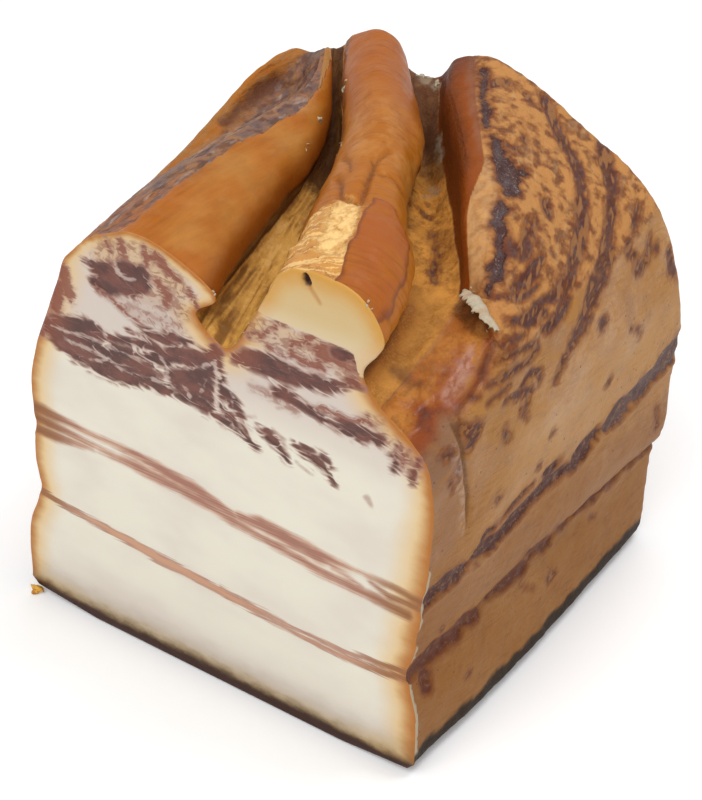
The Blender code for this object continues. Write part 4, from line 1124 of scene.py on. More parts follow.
def cut_finish(paint):
    """Knife cut: white fat with marbled lean, cartilage and smoked edges."""
    f = Finish("cut_face")
    broad = f.noise((16.0, 16.0, 9.0), seed=5.0)
    soft = f.noise((4.0, 4.0, 2.2), seed=7.0)
    fibre = f.noise((2.3, 2.3, 1.1), 1.5, twist=0.5)
    fine = f.noise((0.7, 0.7, 0.4), 3.0, 0.6, seed=3.0)
    swirl = f.noise((2.4, 2.4, 1.7), twist=1.6, seed=15.0)
    strand = f.noise((10.0, 10.0, 0.42), 4.0, 0.6, twist=0.3, seed=9.0)
    long_fibre = f.noise((5.6, 5.6, 1.9), 1.0, twist=0.6, seed=11.0, turn=(0.0, math.radians(9), 0.0))
    thread = f.lines(long_fibre, 12.0)
    hair = f.lines(f.noise((2.6, 2.6, 1.1), 1.0, twist=0.6, seed=13.0), 11.0)
    height = f.axis("Z")

    # White fat that the smoke has yellowed towards the edges, and its mottled ground.
    edge = f.mark("cut_edge") + (soft - 0.5) * 1.4
    outside = f.axis("X").step(32.0, 46.0) * (1.0 - height.step(52.0, 66.0))
    narrow = edge * (1.0 + height.step(83.0, 88.0) * 1.1 - outside * 0.28)
    fat = f.layers(
        paint.fat,
        (paint.pink_fat, broad.step(0.35, 0.75) * 0.4),
        (paint.pink_fat, height.step(62.0, 76.0) * 0.9),
        (paint.pink_fat, (1.0 - height.step(3.0, 18.0)) * 0.6),
        (paint.cream, (1.0 - narrow.step(0.6, 7.5)) * 0.85),
        (paint.amber, (1.0 - narrow.step(0.0, 3.0)) * 0.9))
    mottle = f.mark("cut_mottle") + (soft - 0.5) * 2.0
    ground = f.layers(
        fat,
        (paint.faint_lean, mottle.step(-1.5, 1.5) * 0.4),
        (paint.cream, mottle.step(-1.5, 1.5) * height.step(81.0, 90.0) * 0.4))

    # The two thin layers of lean.
    lower = f.mark("cut_lower") + (strand - 0.5) * 2.6
    lining = lower.step(-0.5, 0.0) * (1.0 - lower.step(0.0, 0.6))
    upper = f.mark("cut_upper") + (soft - 0.5) * 0.8
    smoked = 1.0 - narrow.step(2.0, 14.0)
    streaks = lower.step(-0.7, 0.5).over(upper.step(-0.9, 0.5))

    # Marbled lean in three tones, and the fat between its fibres.
    grain = (fibre - 0.5) * 1.7
    faint = f.mark("cut_faint") + grain * 0.5
    warm = f.mark("cut_warm").under(0.8) + 0.2 + grain * 0.8 - hair * 0.6
    dark = f.mark("cut_dark").under(0.9) + 0.3 + grain * 0.6 - thread * 0.95 - hair * 0.1
    muscle = f.layers(
        paint.lean,
        (paint.upper_streak, (fine * 0.3 + soft * 0.7).step(0.38, 0.66) * 0.5),
        (paint.warm_lean, (1.0 - narrow.step(1.0, 7.0)) * 0.7))
    vein = f.mark("cut_vein") + (fibre - 0.5) * 2.0

    # Rib cartilage, and the rind at the foot.
    bone = f.mark("cut_bone").step(-0.2, 0.2)
    bone_tone = f.layers(
        paint.bone,
        (paint.bone_edge, (1.0 - edge.step(0.2, 4.2)) * 0.85),
        (paint.fat, (1.0 - height.step(88.0, 94.0)) * 0.35),
        (paint.bone_edge, height.step(94.0, 102.0) * 0.5),
        (paint.amber, f.mark("cut_groove").step(-0.5, 0.3) * 0.5),
        (paint.rind, f.mark("cut_hole").step(-0.35, 0.05)))
    low = height + (soft - 0.5) * 3.0 + (fine - 0.5) * 1.0
    rind = 1.0 - (height + (soft - 0.5) * 1.6 + (fine - 0.5) * 0.8).step(1.8, 3.8)

    colour = f.layers(
        ground,
        (paint.warm_lean, mottle.step(-1.2, 1.2) * swirl.step(0.46, 0.62) * 0.6),
        (paint.lower_streak, lower.step(-0.7, 0.5) * 0.85),
        (paint.upper_streak, lining * (0.25 + fibre * 0.5)),
        (paint.lower_streak, upper.step(-0.9, 0.5) * 0.65),
        (paint.upper_streak, (upper + (strand - 0.5) * 4.0).step(-0.7, 1.3) * 0.75),
        (paint.tan_dark, smoked * streaks * 0.75),
        (paint.faint_lean, faint.step(-0.5, 0.4) * 0.6),
        (paint.faint_lean, warm.step(-1.1, 0.2) * 0.6),
        (paint.warm_lean, warm.step(-0.3, 0.4) * 0.8),
        (paint.faint_lean, dark.step(-1.2, 0.0) * 0.75),
        (muscle, dark.step(-0.6, 0.5) * 0.92),
        (paint.vein, vein.step(-0.3, 0.3) * 0.6),
        (bone_tone, bone),
        (paint.rind_fade, (1.0 - low.step(2.6, 11.0)) * 0.35),
        (paint.rind_fade, (1.0 - low.step(2.2, 5.6)) * 0.75),
        (paint.rind, rind))

    wet = 0.42 + dark.step(-0.3, 0.5) * 0.06 + (fine - 0.5) * 0.12
    bump = fine * 0.35 + fibre * 0.3 - dark.step(-0.5, 0.5) * 0.6 + vein.step(-0.3, 0.3) * 0.3
    return f.skin(colour, wet, bump, 0.10, Subsurface_Weight=0.25, Subsurface_Scale=0.0008,
                  Subsurface_Radius=(1.0, 0.75, 0.6), Specular_IOR_Level=0.2)


def skin_finish(paint):
    """Smoked skin of the sides, the roll, the ridge, the valley and the lobe."""
    f = Finish("smoked_skin")
    lean_turn = (math.radians(14), 0.0, math.radians(29))
    broad = f.noise((17.0, 20.0, 15.0), 3.0, seed=1.0)
    patch = f.noise((5.5, 6.5, 4.5), 4.0, 0.6, twist=0.4, seed=2.0)
    fine = f.noise((1.3, 1.6, 1.1), 4.0, 0.6, seed=3.0)
    grit = f.noise((0.45, 0.45, 0.45), 3.0, 0.6, seed=4.0)
    along = f.noise((1.2, 11.0, 1.3), 4.0, 0.6, twist=0.2, seed=5.0)
    blob = f.noise((2.2, 2.8, 2.2), seed=17.0)
    sweep = f.noise((2.6, 5.4, 2.6), seed=6.0, turn=lean_turn)
    stripe = f.noise((1.2, 5.0, 1.2), 1.5, seed=14.0, turn=lean_turn)
    gaps = f.noise((20.0, 3.6, 9.0), twist=0.3, seed=8.0, turn=(math.radians(38), 0.0, 0.0))
    rib = f.noise((1.7, 16.0, 1.7), twist=0.6, seed=16.0, turn=(0.0, 0.0, math.radians(19)))
    scratch = f.noise((3.0, 8.0, 0.5), 3.0, 0.6, twist=0.2, seed=13.0, turn=(math.radians(-8), 0.0, 0.0))
    ribs = f.noise((7.0, 0.7, 7.0), twist=0.3, seed=9.0, turn=(0.0, 0.0, math.radians(26)))
    depth, height = f.axis("Y"), f.axis("Z")
    jitter = (fine - 0.5) * 1.6 + (patch - 0.5) * 1.2

    def zone(name, spread=0.35):
        return (f.mark(name) + jitter * spread).step(0.3, 0.7)

    def inside(name, soft=0.35, spread=1.0):
        return (f.mark(name) + jitter * spread).step(-soft, soft)

    on_roll, on_ridge, on_bare = zone("roll", 0.12), zone("ridge", 0.2), zone("bare", 0.25)
    on_lobe, on_valley, on_strip = zone("lobe"), zone("valley"), zone("strip", 0.3)
    in_red, in_pink = inside("red", 1.6, 1.2), inside("pink", 1.0, 1.4)

    # Where the plain skin of the sides changes its tone.
    # Painted light: lit pales the smoked fat in a band at mid height towards the far end.
    lit = height.step(42.0, 52.0) * (1.0 - height.step(60.0, 70.0)) * depth.step(-30.0, -10.0)
    pinker = height.step(27.0, 31.0) * (1.0 - height.step(37.0, 42.0))
    near_cut = (1.0 - depth.step(-39.0, -34.0)) * height.step(42.0, 56.0)
    pale = (scratch * 0.15 + broad * 0.5 + patch * 0.35).step(0.42, 0.66) * 0.2
    dots = 1.0 - f.cells(2.2, 1.0).step(0.06, 0.15)

    # Valley, shelf in front of the lobe, lobe and its inner wall.
    near = 1.0 - depth.step(-24.0, -10.0)
    # Painted shade: the near valley darkens towards the ridge's foot.
    valley_shade = (f.mark("ridge_foot_shade") + (patch - 0.5) * 2.0).step(-2.6, 0.6)
    valley = f.layers(
        paint.valley,
        (paint.tan_dark, patch.step(0.4, 0.6) * 0.45),
        (paint.tan_dark, near * 0.4),
        (paint.wall, valley_shade * near * 0.65))
    rough_valley = f.layers(valley, (paint.lobe_dark, (blob * 0.5 + fine * 0.5).step(0.46, 0.62) * 0.5))
    valley = f.layers(
        valley,
        (rough_valley, depth.step(-24.0, -6.0)),
        (paint.rib_tan, (patch * 0.4 + grit * 0.6).step(0.5, 0.62) * 0.3))
    far_valley = f.layers(valley, (paint.skin_lean, depth.step(12.0, 26.0) * 0.85))
    shelf = f.layers(
        valley,
        (paint.ridge_far, 0.5 + (broad - 0.5) * 1.6),
        (paint.red, patch.step(0.42, 0.62) * 0.35),
        (paint.tan_dark, (along * 0.4 + fine * 0.6).step(0.48, 0.62) * 0.5),
        # Painted shadow on the shelf under the torn flake.
        (paint.furrow_shade, (f.mark("ledge") + (patch - 0.5) * 4.0).step(-20.4, -16.8) * 0.75))
    lobe = f.layers(
        paint.lobe,
        (paint.lobe_dark, (patch * 0.5 + blob * 0.5).step(0.44, 0.6) * 0.72),
        (paint.tan_light, (patch * 0.5 + stripe * 0.5).step(0.53, 0.64) * 0.4),
        (paint.skin_lean, (patch * 0.4 + blob * 0.3 + fine * 0.3).step(0.49, 0.62) * 0.5))
    plain = f.layers(paint.tan_light, (paint.lobe, fine.step(0.4, 0.65) * 0.7))
    plain_share = (f.mark("plain") + (patch - 0.5) * 1.6 + (blob - 0.5) * 0.8).step(0.1, 1.0)
    drop = f.mark("wall_drop") + (along - 0.5) * 0.5
    upper = 1.0 - (drop + (patch - 0.5) * 0.5).step(0.1, 0.5)
    wall = f.layers(
        paint.wall,
        # Painted shade, darker further down the lobe's inner wall.
        (paint.furrow_shade, (drop + (patch - 0.5) * 0.8).step(0.3, 1.1) * 0.5),
        (paint.bare, upper * depth.step(4.0, 18.0) * 0.5),
        (paint.skin_lean, depth.step(30.0, 43.0) * 0.4))

    # Rolled edge, the bare meat and the rim left of it, and the ridge with its left side.
    roll = f.layers(
        paint.roll,
        (paint.roll_dark, (broad * 0.6 + along * 0.4).step(0.44, 0.66) * 0.5),
        (paint.ridge_far, (patch * 0.6 + fine * 0.4).step(0.48, 0.68) * 0.45),
        (paint.flaky, (broad * 0.7 + patch * 0.3).step(0.5, 0.68) * 0.3),
        (paint.rib_tan, f.mark("roll_top").step(0.0, 1.0) * broad.step(0.4, 0.62) * 0.3),
        # Darker towards the lip: partly the roll's own tone, partly painted shade where it turns down into
        # the groove.
        (paint.roll_dark, f.mark("lip_dark_and_shade").step(-0.2, 1.0) * 0.75))
    bare = f.layers(
        paint.bare,
        (paint.tan, along.step(0.42, 0.6) * 0.8),
        (paint.ridge_far, (1.0 - depth.step(-36.0, -16.0)) * 0.5),
        (paint.grey_lean, (along * 0.4 + patch * 0.6).step(0.46, 0.58) * 0.75),
        (paint.skin_lean, (along * 0.3 + blob * 0.7).step(0.47, 0.6) * 0.55),
        # Pale streaks along the bare meat: partly thin fat, partly painted highlight.
        (paint.vein, (along * 0.5 + sweep * 0.5).step(0.54, 0.66) * 0.4))
    outer = f.layers(
        paint.ridge,
        (paint.tan, (along * 0.5 + patch * 0.5).step(0.42, 0.6) * 0.8),
        (paint.skin_lean, (along * 0.5 + blob * 0.5).step(0.54, 0.64) * 0.2))
    strip = f.layers(
        paint.rib_tan,
        (paint.tan_dark, (fine * 0.2 + rib * 0.8).step(0.44, 0.6) * 0.65),
        # Painted shade in the grooves between the ribs.
        (paint.furrow_shade, (patch * 0.3 + rib * 0.7).step(0.54, 0.64) * 0.45),
        (paint.scraped, (1.0 - (fine * 0.3 + rib * 0.7).step(0.36, 0.46)) * 0.3))
    # Painted highlight: a paler flaky tone across the ridge's middle.
    ridge_highlight = 1.0 - (depth - 2.0).math("ABSOLUTE").step(4.0, 22.0)
    ridge = f.layers(
        paint.ridge,
        (paint.ridge_far, depth.step(0.0, 30.0)),
        (paint.roll, patch.step(0.42, 0.66) * 0.55),
        (paint.roll_dark, (ribs * 0.8 + fine * 0.2).step(0.5, 0.68) * 0.4),
        (paint.flaky, ridge_highlight * patch.step(0.4, 0.6) * 0.4))

    # Torn, scraped and red skin on the ridge, and the red meat on the shelf.
    torn = f.layers(
        paint.flaky,
        (paint.roll_dark, (ribs * 0.5 + fine * 0.5).step(0.46, 0.6) * 0.6),
        (paint.scraped, (ribs * 0.5 + patch * 0.3 + grit * 0.2).step(0.5, 0.57) * 0.7))
    scraped = f.layers(
        paint.scraped,
        (paint.flaky, (blob * 0.4 + fine * 0.4 + grit * 0.2).step(0.44, 0.62) * 0.8),
        (paint.roll_dark, (blob * 0.5 + fine * 0.5).step(0.56, 0.68) * 0.4))
    red_skin = f.layers(
        paint.membrane,
        (paint.ridge, (ribs * 0.4 + patch * 0.6).step(0.42, 0.6) * 0.7),
        (paint.wall, (broad * 0.5 + ribs * 0.5).step(0.46, 0.62) * 0.55))
    membrane = inside("membrane", 0.15, 0.25)
    rim = membrane * (1.0 - (f.mark("membrane") + jitter * 0.25).step(0.1, 0.9))
    red = f.layers(paint.red, (paint.skin_lean, (patch * 0.7 + fine * 0.3).step(0.48, 0.7) * 0.7))
    pink = f.layers(paint.pink, (paint.red, (stripe * 0.5 + fine * 0.5).step(0.45, 0.6) * 0.7))

    # Dried lean: marks, threads and the grey crust of the lobe, and the streaks of the sides.
    dry = f.layers(
        paint.skin_lean,
        (paint.grey_lean, (along * 0.4 + fine * 0.6).step(0.46, 0.62) * 0.6),
        (paint.lobe, stripe.step(0.52, 0.64) * 0.5))
    ragged = (blob - 0.5) * 2.2 + (patch - 0.5) * 0.8
    lean = f.mark("lean").under(0.8) + (stripe - 0.5) * 2.8 + (blob - 0.5) * 1.4 + (fine - 0.5) * 1.2
    thread = f.mark("thread").under(0.7) + (blob - 0.5) * 0.6 + (stripe - 0.5) * 1.0 + (fine - 0.5) * 0.6
    grey = f.mark("grey") + ragged + (fine - 0.5) * 1.4 - 0.3
    crust = f.layers(
        paint.grey_lean,
        (paint.skin_lean, (blob * 0.5 + fine * 0.4 + grit * 0.1).step(0.42, 0.56) * 0.8),
        (paint.vein, (grit * 0.6 + fine * 0.4).step(0.53, 0.64) * 0.35))
    low_streak = 1.0 - height.step(30.0, 34.0)
    notches = gaps.step(0.46, 0.7) * (1.6 - low_streak * 0.8)
    notched = f.mark("streak") + ragged * (0.8 - low_streak * 0.2) - notches
    streak = f.layers(
        paint.skin_lean,
        (paint.grey_lean, (along * 0.4 + fine * 0.6).step(0.47, 0.6) * 0.6),
        (paint.grey_lean, depth.step(0.0, 40.0) * height.step(34.0, 40.0) * 0.6),
        (paint.tan, (grit * 0.4 + fine * 0.6).step(0.53, 0.63) * 0.6),
        (paint.lobe_dark, low_streak * 0.4))

    chip = (f.mark("chip") + (fine - 0.5) * 0.8).step(-0.1, 0.2)
    soot = (f.mark("soot") + jitter * 0.3).step(0.15, 0.8)

    colour = f.layers(
        paint.tan,
        (paint.tan_dark, (patch * 0.6 + fine * 0.4).step(0.42, 0.68) * 0.55),
        (paint.tan_light, (broad * 0.5 + fine * 0.5).step(0.46, 0.66) * 0.6),
        (paint.tan_dark, scratch.step(0.5, 0.75) * 0.6),
        (paint.tan_light, lit * 0.4),
        (paint.bare, pinker * (0.15 + broad * 0.4)),
        (paint.tan_dark, (1.0 - height.step(12.0, 62.0)) * 0.6),
        (paint.bare, near_cut * (0.2 + patch * 0.5)),
        (paint.grey_lean, near_cut * height.step(62.0, 72.0) * patch.step(0.35, 0.6) * 0.45),
        (paint.vein, height.step(30.0, 60.0) * pale),
        (paint.tan_dark, (1.0 - depth.step(-45.0, -26.0)) * 0.35),
        (paint.lobe_dark, (fine * 0.5 + grit * 0.5).step(0.56, 0.7) * 0.55),
        (paint.skin_lean, dots * patch.step(0.42, 0.6) * 0.65),
        (far_valley, on_valley),
        (shelf, (f.mark("shelf") + (patch - 0.5) * 1.6).step(0.0, 1.0)),
        (lobe, on_lobe),
        (plain, plain_share * 0.6),
        (wall, zone("wall", 0.2)),
        (roll, on_roll),
        (bare, on_bare),
        (outer, (f.mark("outer") + jitter * 0.6).step(-0.1, 0.6) * 0.85),
        (strip, on_strip),
        # Painted shade under the roll's lip.
        (paint.furrow_shade, zone("under_lip_shade", 0.25) * 0.9),
        (ridge, on_ridge),
        # Painted shade at the ridge's feet.
        (paint.furrow_shade, f.mark("ridge_foot_shade").step(-0.2, 1.0) * (0.3 + fine * 0.6)),
        (torn, inside("flaky", 0.8, 2.4)),
        (scraped, inside("scraped", 1.4, 3.6)),
        (red_skin, membrane),
        (paint.skin_lean, rim * 0.5),
        # Dark brown round the cracks, with painted shade at their centre.
        (paint.roll_dark, inside("crack", 0.9, 0.4) * 0.5),
        (paint.furrow_shade, inside("crack", 0.35, 0.6) * 0.45),
        (red, in_red * 0.85),
        (pink, in_pink * 0.8),
        (paint.skin_lean, inside("stain", 1.1, 0.9) * 0.6),
        (paint.crumb, inside("pale", 0.6, 1.6) * 0.45),
        (paint.lobe_dark, lean.step(-1.5, 0.3) * 0.65),
        (dry, lean.step(-0.5, 0.8) * 0.8),
        (paint.lobe_dark, thread.step(-1.0, 0.1) * 0.65),
        (dry, thread.step(-0.3, 0.5) * 0.85),
        (paint.lobe_dark, grey.step(-1.9, -0.4) * 0.6),
        (paint.skin_lean, grey.step(-1.0, 0.2) * 0.7),
        (crust, grey.step(-0.45, 0.45) * 0.9),
        (paint.skin_lean, inside("fold", 0.9, 0.8) * 0.75),
        (paint.lobe_dark, notched.step(-1.9, -0.1) * 0.65),
        (streak, notched.step(-0.4, 0.4) * 0.9),
        (paint.vein, inside("chalk", 1.4, 1.8) * fine.step(0.4, 0.6) * 0.3),
        # Painted shade in the crease and its branch.
        (paint.furrow_shade, f.mark("crease").step(0.3, 0.9) * 0.5),
        (paint.crumb, chip * 0.9),
        (paint.soot, soot * 0.95))

    shine = on_roll.over(on_ridge).over(membrane).over(plain_share)
    wet = in_pink.over(in_red * 0.7)
    rough = 0.5 - shine * 0.08 - wet * 0.1 + (fine - 0.5) * 0.25 + soot * 0.1
    bump = fine * (1.0 - shine * 0.7) + grit * (0.5 - shine * 0.35) + ribs * shine * 0.14
    bump = bump + along * on_bare * 1.2 + sweep * on_lobe * (1.0 - plain_share) * 1.2
    bump = bump + scratch * (0.5 - shine * 0.5) + inside("scraped", 0.5, 2.2) * (fine + grit) * 0.8
    bump = bump + (1.0 - rib) * on_strip * 2.0 + fine * on_valley * 0.8
    bump = bump + (fine + grit) * grey.step(-0.3, 0.3) * 1.4
    bump = bump - notched.step(-0.6, 0.5) * 0.5 - lean.step(-0.5, 0.5) * 0.35
    return f.skin(colour, rough, bump, 0.30, Subsurface_Weight=0.08, Subsurface_Scale=0.0010,
                  Subsurface_Radius=(1.0, 0.5, 0.3), Coat_Roughness=0.22,
                  Coat_Weight=0.03 + shine * 0.12 + wet * 0.35, Specular_IOR_Level=0.08)


def rind_finish(paint):
    """Dark rind, leathery and pitted."""
    f = Finish("rind_hide")
    broad = f.noise((14.0, 14.0, 6.0), 3.0, 0.55, seed=1.0)
    fine = f.noise((1.1, 1.1, 1.1), 4.0, 0.6, seed=2.0)
    pits = f.cells(2.6, 3.0)
    colour = f.layers(
        paint.rind,
        (paint.soot, broad.step(0.4, 0.7)),
        (paint.wall, fine.step(0.6, 0.8) * 0.3))
    bump = fine * 0.6 + pits.step(0.0, 0.35) * 0.8
    return f.skin(colour, 0.5 + (fine - 0.5) * 0.3, bump, 0.25, Specular_IOR_Level=0.1)


def torn_finish(name, grain, blotch, colours, spread, rough, blue):
    """Torn fat with blotches of a second colour. The sizes of its grain and its blotches are millimetres."""
    f = Finish(name)
    fine = f.noise((grain,) * 3, 3.0, 0.6, seed=1.0)
    low, high, share = spread
    colour = f.layers(colours[0], (colours[1], f.noise((blotch,) * 3, seed=2.0).step(low, high) * share))
    return f.skin(colour, rough + (fine - 0.5) * 0.3, fine, 0.12, Subsurface_Weight=0.25,
                  Subsurface_Scale=0.0008, Subsurface_Radius=(1.0, 0.7, blue))


def crumb_finish(paint):
    """Whitish crumbs of torn fat."""
    return torn_finish("torn_fat", 0.6, 2.0, (paint.crumb, paint.tan), (0.45, 0.7, 0.4), 0.5, 0.5)


def scrap_finish(paint):
    """Yellow scrap of smoked fat."""
    return torn_finish("yellow_fat", 0.7, 2.4, (paint.scrap, paint.amber), (0.4, 0.65, 0.8), 0.4, 0.4)


def top_of(block, x, y):
    """The block's uppermost point over x and y in millimetres, or None beside the block."""
    hit, spot, _, _ = block.ray_cast((x * MM, y * MM, RAY_START), (0.0, 0.0, -1.0))
    return spot if hit else None


def scattered(chains, block, seed):
    """Places for small lumps along chains over the block: a point, three half lengths and a turn each."""
    draw = np.random.default_rng(seed)
    places = []
    for count, size, chain in chains:
        table = np.array(chain, float)
        for _ in range(count):
            share = draw.uniform(0.0, len(table) - 1.001)
            first = int(share)
            x, y, spread = table[first] + (share - first) * (table[first + 1] - table[first])
            x, y = draw.normal((x, y), spread / 2)
            spot = top_of(block, x, y)
            if spot is None:
                continue
            half = size * draw.uniform((0.7, 0.45, 0.2), (1.5, 0.9, 0.45))
            places.append((np.array(spot) / MM, half, draw.uniform(-1.2, 1.2, 3)))
    return places


def mesh_from(name, shape):
    mesh = bpy.data.meshes.new(name)
    shape.to_mesh(mesh)
    shape.free()
    mesh.shade_smooth()
    return mesh


def lump_mesh(name, places):
    """One mesh of small ragged lumps."""
    shape = bmesh.new()
    for number, (place, half, turn) in enumerate(places):
        verts = bmesh.ops.create_icosphere(shape, subdivisions=2, radius=1.0)["verts"]
        ball = np.array([vert.co for vert in verts])
        ragged = 1 + 0.55 * LUMPS.at(*(ball * 1.4 + 3.7 * number).T)[:, None]
        spots = ball * ragged * half @ np.array(Euler(turn).to_matrix()).T + place
        for vert, spot in zip(verts, spots):
            vert.co = spot * MM
    return mesh_from(name, shape)


def flake_mesh(name, block):
    """A thin ragged flake that hangs out from the lobe's step."""
    table = np.array(FLAKE)
    t = np.linspace(0.0, len(table) - 1.0, FLAKE_COLUMNS)
    x, y, width = (np.interp(t, np.arange(len(table)), table[:, k]) for k in range(3))
    shape = bmesh.new()
    rows = []
    for number, along in enumerate(t):
        root = top_of(block, x[number] + 0.3, y[number] + 0.6)
        if root is None:
            raise RuntimeError("the flake's root isn't over the block")
        reach = width[number] * (1.0 + 0.4 * float(LUMPS.at(1.8 * along, 0.4, 8.1))
                                 + 0.25 * float(LUMPS.at(4.4 * along, 5.2, 2.4)))
        row = []
        for share in FLAKE_ROWS:
            out = share * (reach if share > 0 else 1.0)
            curl = 0.35 * float(LUMPS.at(2.2 * along, 1.6 * share, 3.3)) * max(share, 0.0)
            lift = 0.28 - 0.3 * max(share, 0.0)**2 * reach + curl - 0.5 * max(-share, 0.0)
            row.append(shape.verts.new(((x[number] + FLAKE_WAY[0] * out) * MM,
                                        (y[number] + FLAKE_WAY[1] * out) * MM, root.z + lift * MM)))
        rows.append(row)
    for one, two in zip(rows, rows[1:]):
        for k in range(len(FLAKE_ROWS) - 1):
            shape.faces.new((one[k], one[k + 1], two[k + 1], two[k]))
    bmesh.ops.recalc_face_normals(shape, faces=shape.faces)
    bmesh.ops.solidify(shape, geom=list(shape.faces), thickness=FLAKE_THICKNESS * MM)
    return mesh_from(name, shape)


def block_piece():
    """The dressed block, which the small pieces lie on."""
    piece = bpy.data.objects.get("bacon_block")
    if piece is None:
        raise RuntimeError("the block has to be built before its crumbs")
    bpy.context.view_layer.update()
    return piece


def placed(name, data):
    """Put a mesh, a light or a camera in the scene."""
    made = bpy.data.objects.new(name, data)
    bpy.context.scene.collection.objects.link(made)
    return made


def dressed(name, mesh, *materials):
    """Put a mesh in the scene as a piece that rides on the block's body."""
    for material in materials:
        mesh.materials.append(material)
    piece = placed(name, mesh)
    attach(piece, "root")
    return piece


class BACON_OT_block(bpy.types.Operator):
    """Build the bacon block with its knife cut, smoked skin and rind"""

    bl_idname = "bacon.block"
    bl_label = "Bacon block"

    def execute(self, context):
        sizes, paint = context.scene.bacon_sizes, context.scene.bacon_colours
        piece = dressed("bacon_block", block_mesh(sizes), cut_finish(paint), skin_finish(paint),
                        rind_finish(paint))
        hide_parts("bacon")
        return {"FINISHED"}


class BACON_OT_crumbs(bpy.types.Operator):
    """Scatter torn crumbs of fat along the lobe's step, the roll's lip and the cut's edge"""

    bl_idname = "bacon.crumbs"
    bl_label = "Torn crumbs"

    def execute(self, context):
        places = scattered(TORN_FAT, block_piece(), 5)
        dressed("torn_crumbs", lump_mesh("torn_crumbs", places), crumb_finish(context.scene.bacon_colours))
        return {"FINISHED"}


class BACON_OT_flake(bpy.types.Operator):
    """Hang a torn flake on the lobe's step"""

    bl_idname = "bacon.flake"
    bl_label = "Torn flake"

    def execute(self, context):
        mesh = flake_mesh("torn_flake", block_piece())
        dressed("torn_flake", mesh, crumb_finish(context.scene.bacon_colours))
        return {"FINISHED"}


class BACON_OT_scrap(bpy.types.Operator):
    """Leave a scrap of yellow fat at the rind's left corner"""

    bl_idname = "bacon.scrap"
    bl_label = "Fat scrap"

    def execute(self, context):
        places = [(np.array(place), np.array(half), turn) for place, half, turn in SCRAP]
        dressed("fat_scrap", lump_mesh("fat_scrap", places), scrap_finish(context.scene.bacon_colours))
        return {"FINISHED"}


class StageSettings(bpy.types.PropertyGroup):
    """Camera, floor and lights."""

    turn: bpy.props.FloatProperty(name="Turn", description="How far the camera stands round to the right",
                                  subtype="ANGLE", default=math.radians(34.684))
    tilt: bpy.props.FloatProperty(name="Tilt", description="How far the camera looks down",
                                  subtype="ANGLE", default=math.radians(34.299))
    place: bpy.props.FloatVectorProperty(name="Camera place", description="Where the camera stands",
                                         subtype="TRANSLATION", size=3, default=(0.17362, -0.24713, 0.24693))
    lens: bpy.props.FloatProperty(name="Lens", description="Focal length in millimetres",
                                  default=81.0, min=1.0)
    floor_size: bpy.props.FloatProperty(name="Floor", description="Side of the floor",
                                        default=6.0, unit="LENGTH")
    sky: bpy.props.FloatProperty(name="Surroundings", description="Strength of the white surroundings",
                                 default=0.60, min=0.0)
    key: bpy.props.FloatProperty(name="Key light", description="Power of the large light, in watts",
                                 default=3.6, min=0.0)
    floor_glow: bpy.props.FloatProperty(name="Floor glow", default=0.12, min=0.0,
                                        description="Light that the floor sends out, as a lit table does")
    floor: tone("Floor", "Plain pale floor", "FAFAFA")


def soft_light(name, place, size, power):
    """A rectangular light that points at the block."""
    lamp = bpy.data.lights.new(name, "AREA")
    lamp.shape = "RECTANGLE"
    lamp.size, lamp.size_y = size
    lamp.energy = power
    light = placed(name, lamp)
    light.location = place
    light.rotation_euler = (Vector(LIT_POINT) - Vector(place)).to_track_quat("-Z", "Y").to_euler()


def floor_piece(settings):
    """A plain pale floor under the block, with a trace of tone from place to place."""
    half = 0.5 * settings.floor_size
    mesh = bpy.data.meshes.new("floor")
    corners = ((-half, -half), (half, -half), (half, half), (-half, half))
    mesh.from_pydata([(x, y, -FLOOR_GAP) for x, y in corners], [], [(0, 1, 2, 3)])
    f = Finish("floor_paper")
    broad = f.noise((160.0, 160.0, 160.0))
    fine = f.noise((1.5, 1.5, 1.5), seed=2.0)
    dim = tuple(0.985 * value for value in settings.floor)
    colour = f.layers(tuple(settings.floor), (dim, broad))
    mesh.materials.append(f.skin(colour, 0.7 + (fine - 0.5) * 0.1, fine, 0.02, Specular_IOR_Level=0.2,
                                 Emission_Color=(1.0, 1.0, 1.0, 1.0), Emission_Strength=settings.floor_glow))
    floor = placed("floor", mesh)


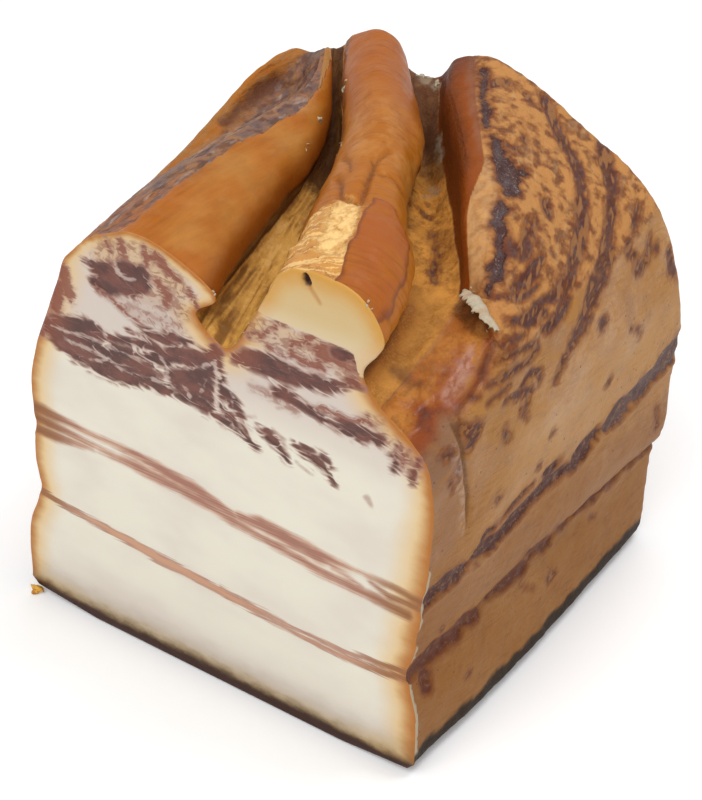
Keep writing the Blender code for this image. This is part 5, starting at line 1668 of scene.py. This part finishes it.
class BACON_OT_stage(bpy.types.Operator):
    """Set up the floor, the soft lights and the camera"""

    bl_idname = "bacon.stage"
    bl_label = "Stage"

    def execute(self, context):
        scene, settings = context.scene, context.scene.bacon_stage
        floor_piece(settings)
        world = bpy.data.worlds.new("white_room")
        world.use_nodes = True
        background = world.node_tree.nodes["Background"]
        background.inputs["Color"].default_value = (1.0, 1.0, 1.0, 1.0)
        background.inputs["Strength"].default_value = settings.sky
        scene.world = world
        for name, place, size, share in LIGHTS:
            soft_light(name, place, size, share * settings.key)
        lens = bpy.data.cameras.new("camera")
        lens.lens = settings.lens
        lens.sensor_width = 36.0
        lens.clip_start = 0.01
        camera = placed("camera", lens)
        camera.location = settings.place
        camera.rotation_euler = (0.5 * math.pi - settings.tilt, 0.0, settings.turn)
        scene.camera = camera
        scene.view_settings.view_transform = "Standard"
        return {"FINISHED"}


class BACON_PT_panel(bpy.types.Panel):
    """Sizes, colours and buttons of the bacon block"""

    bl_label = "Bacon block"
    bl_idname = "BACON_PT_panel"
    bl_space_type = "VIEW_3D"
    bl_region_type = "UI"
    bl_category = "Bacon"

    def draw(self, context):
        for group in GROUPS:
            box = self.layout.box()
            for name in GROUPS[group].__annotations__:
                box.prop(getattr(context.scene, group), name)
        for operator in OPERATORS:
            self.layout.operator(operator.bl_idname)


OPERATORS = (BACON_OT_stage, BACON_OT_block, BACON_OT_crumbs, BACON_OT_flake, BACON_OT_scrap)
GROUPS = {"bacon_sizes": BaconSizes, "bacon_colours": BaconColours, "bacon_stage": StageSettings}


def register():
    for made in (*GROUPS.values(), *OPERATORS, BACON_PT_panel):
        bpy.utils.register_class(made)
    for name, group in GROUPS.items():
        setattr(bpy.types.Scene, name, bpy.props.PointerProperty(type=group))


def unregister():
    for name in GROUPS:
        delattr(bpy.types.Scene, name)
    for made in reversed((*GROUPS.values(), *OPERATORS, BACON_PT_panel)):
        bpy.utils.unregister_class(made)


def main():
    register()
    bpy.ops.bacon.stage()
    bpy.ops.bacon.block()
    bpy.ops.bacon.crumbs()
    bpy.ops.bacon.flake()
    bpy.ops.bacon.scrap()


if __name__ == "__main__":
    main()
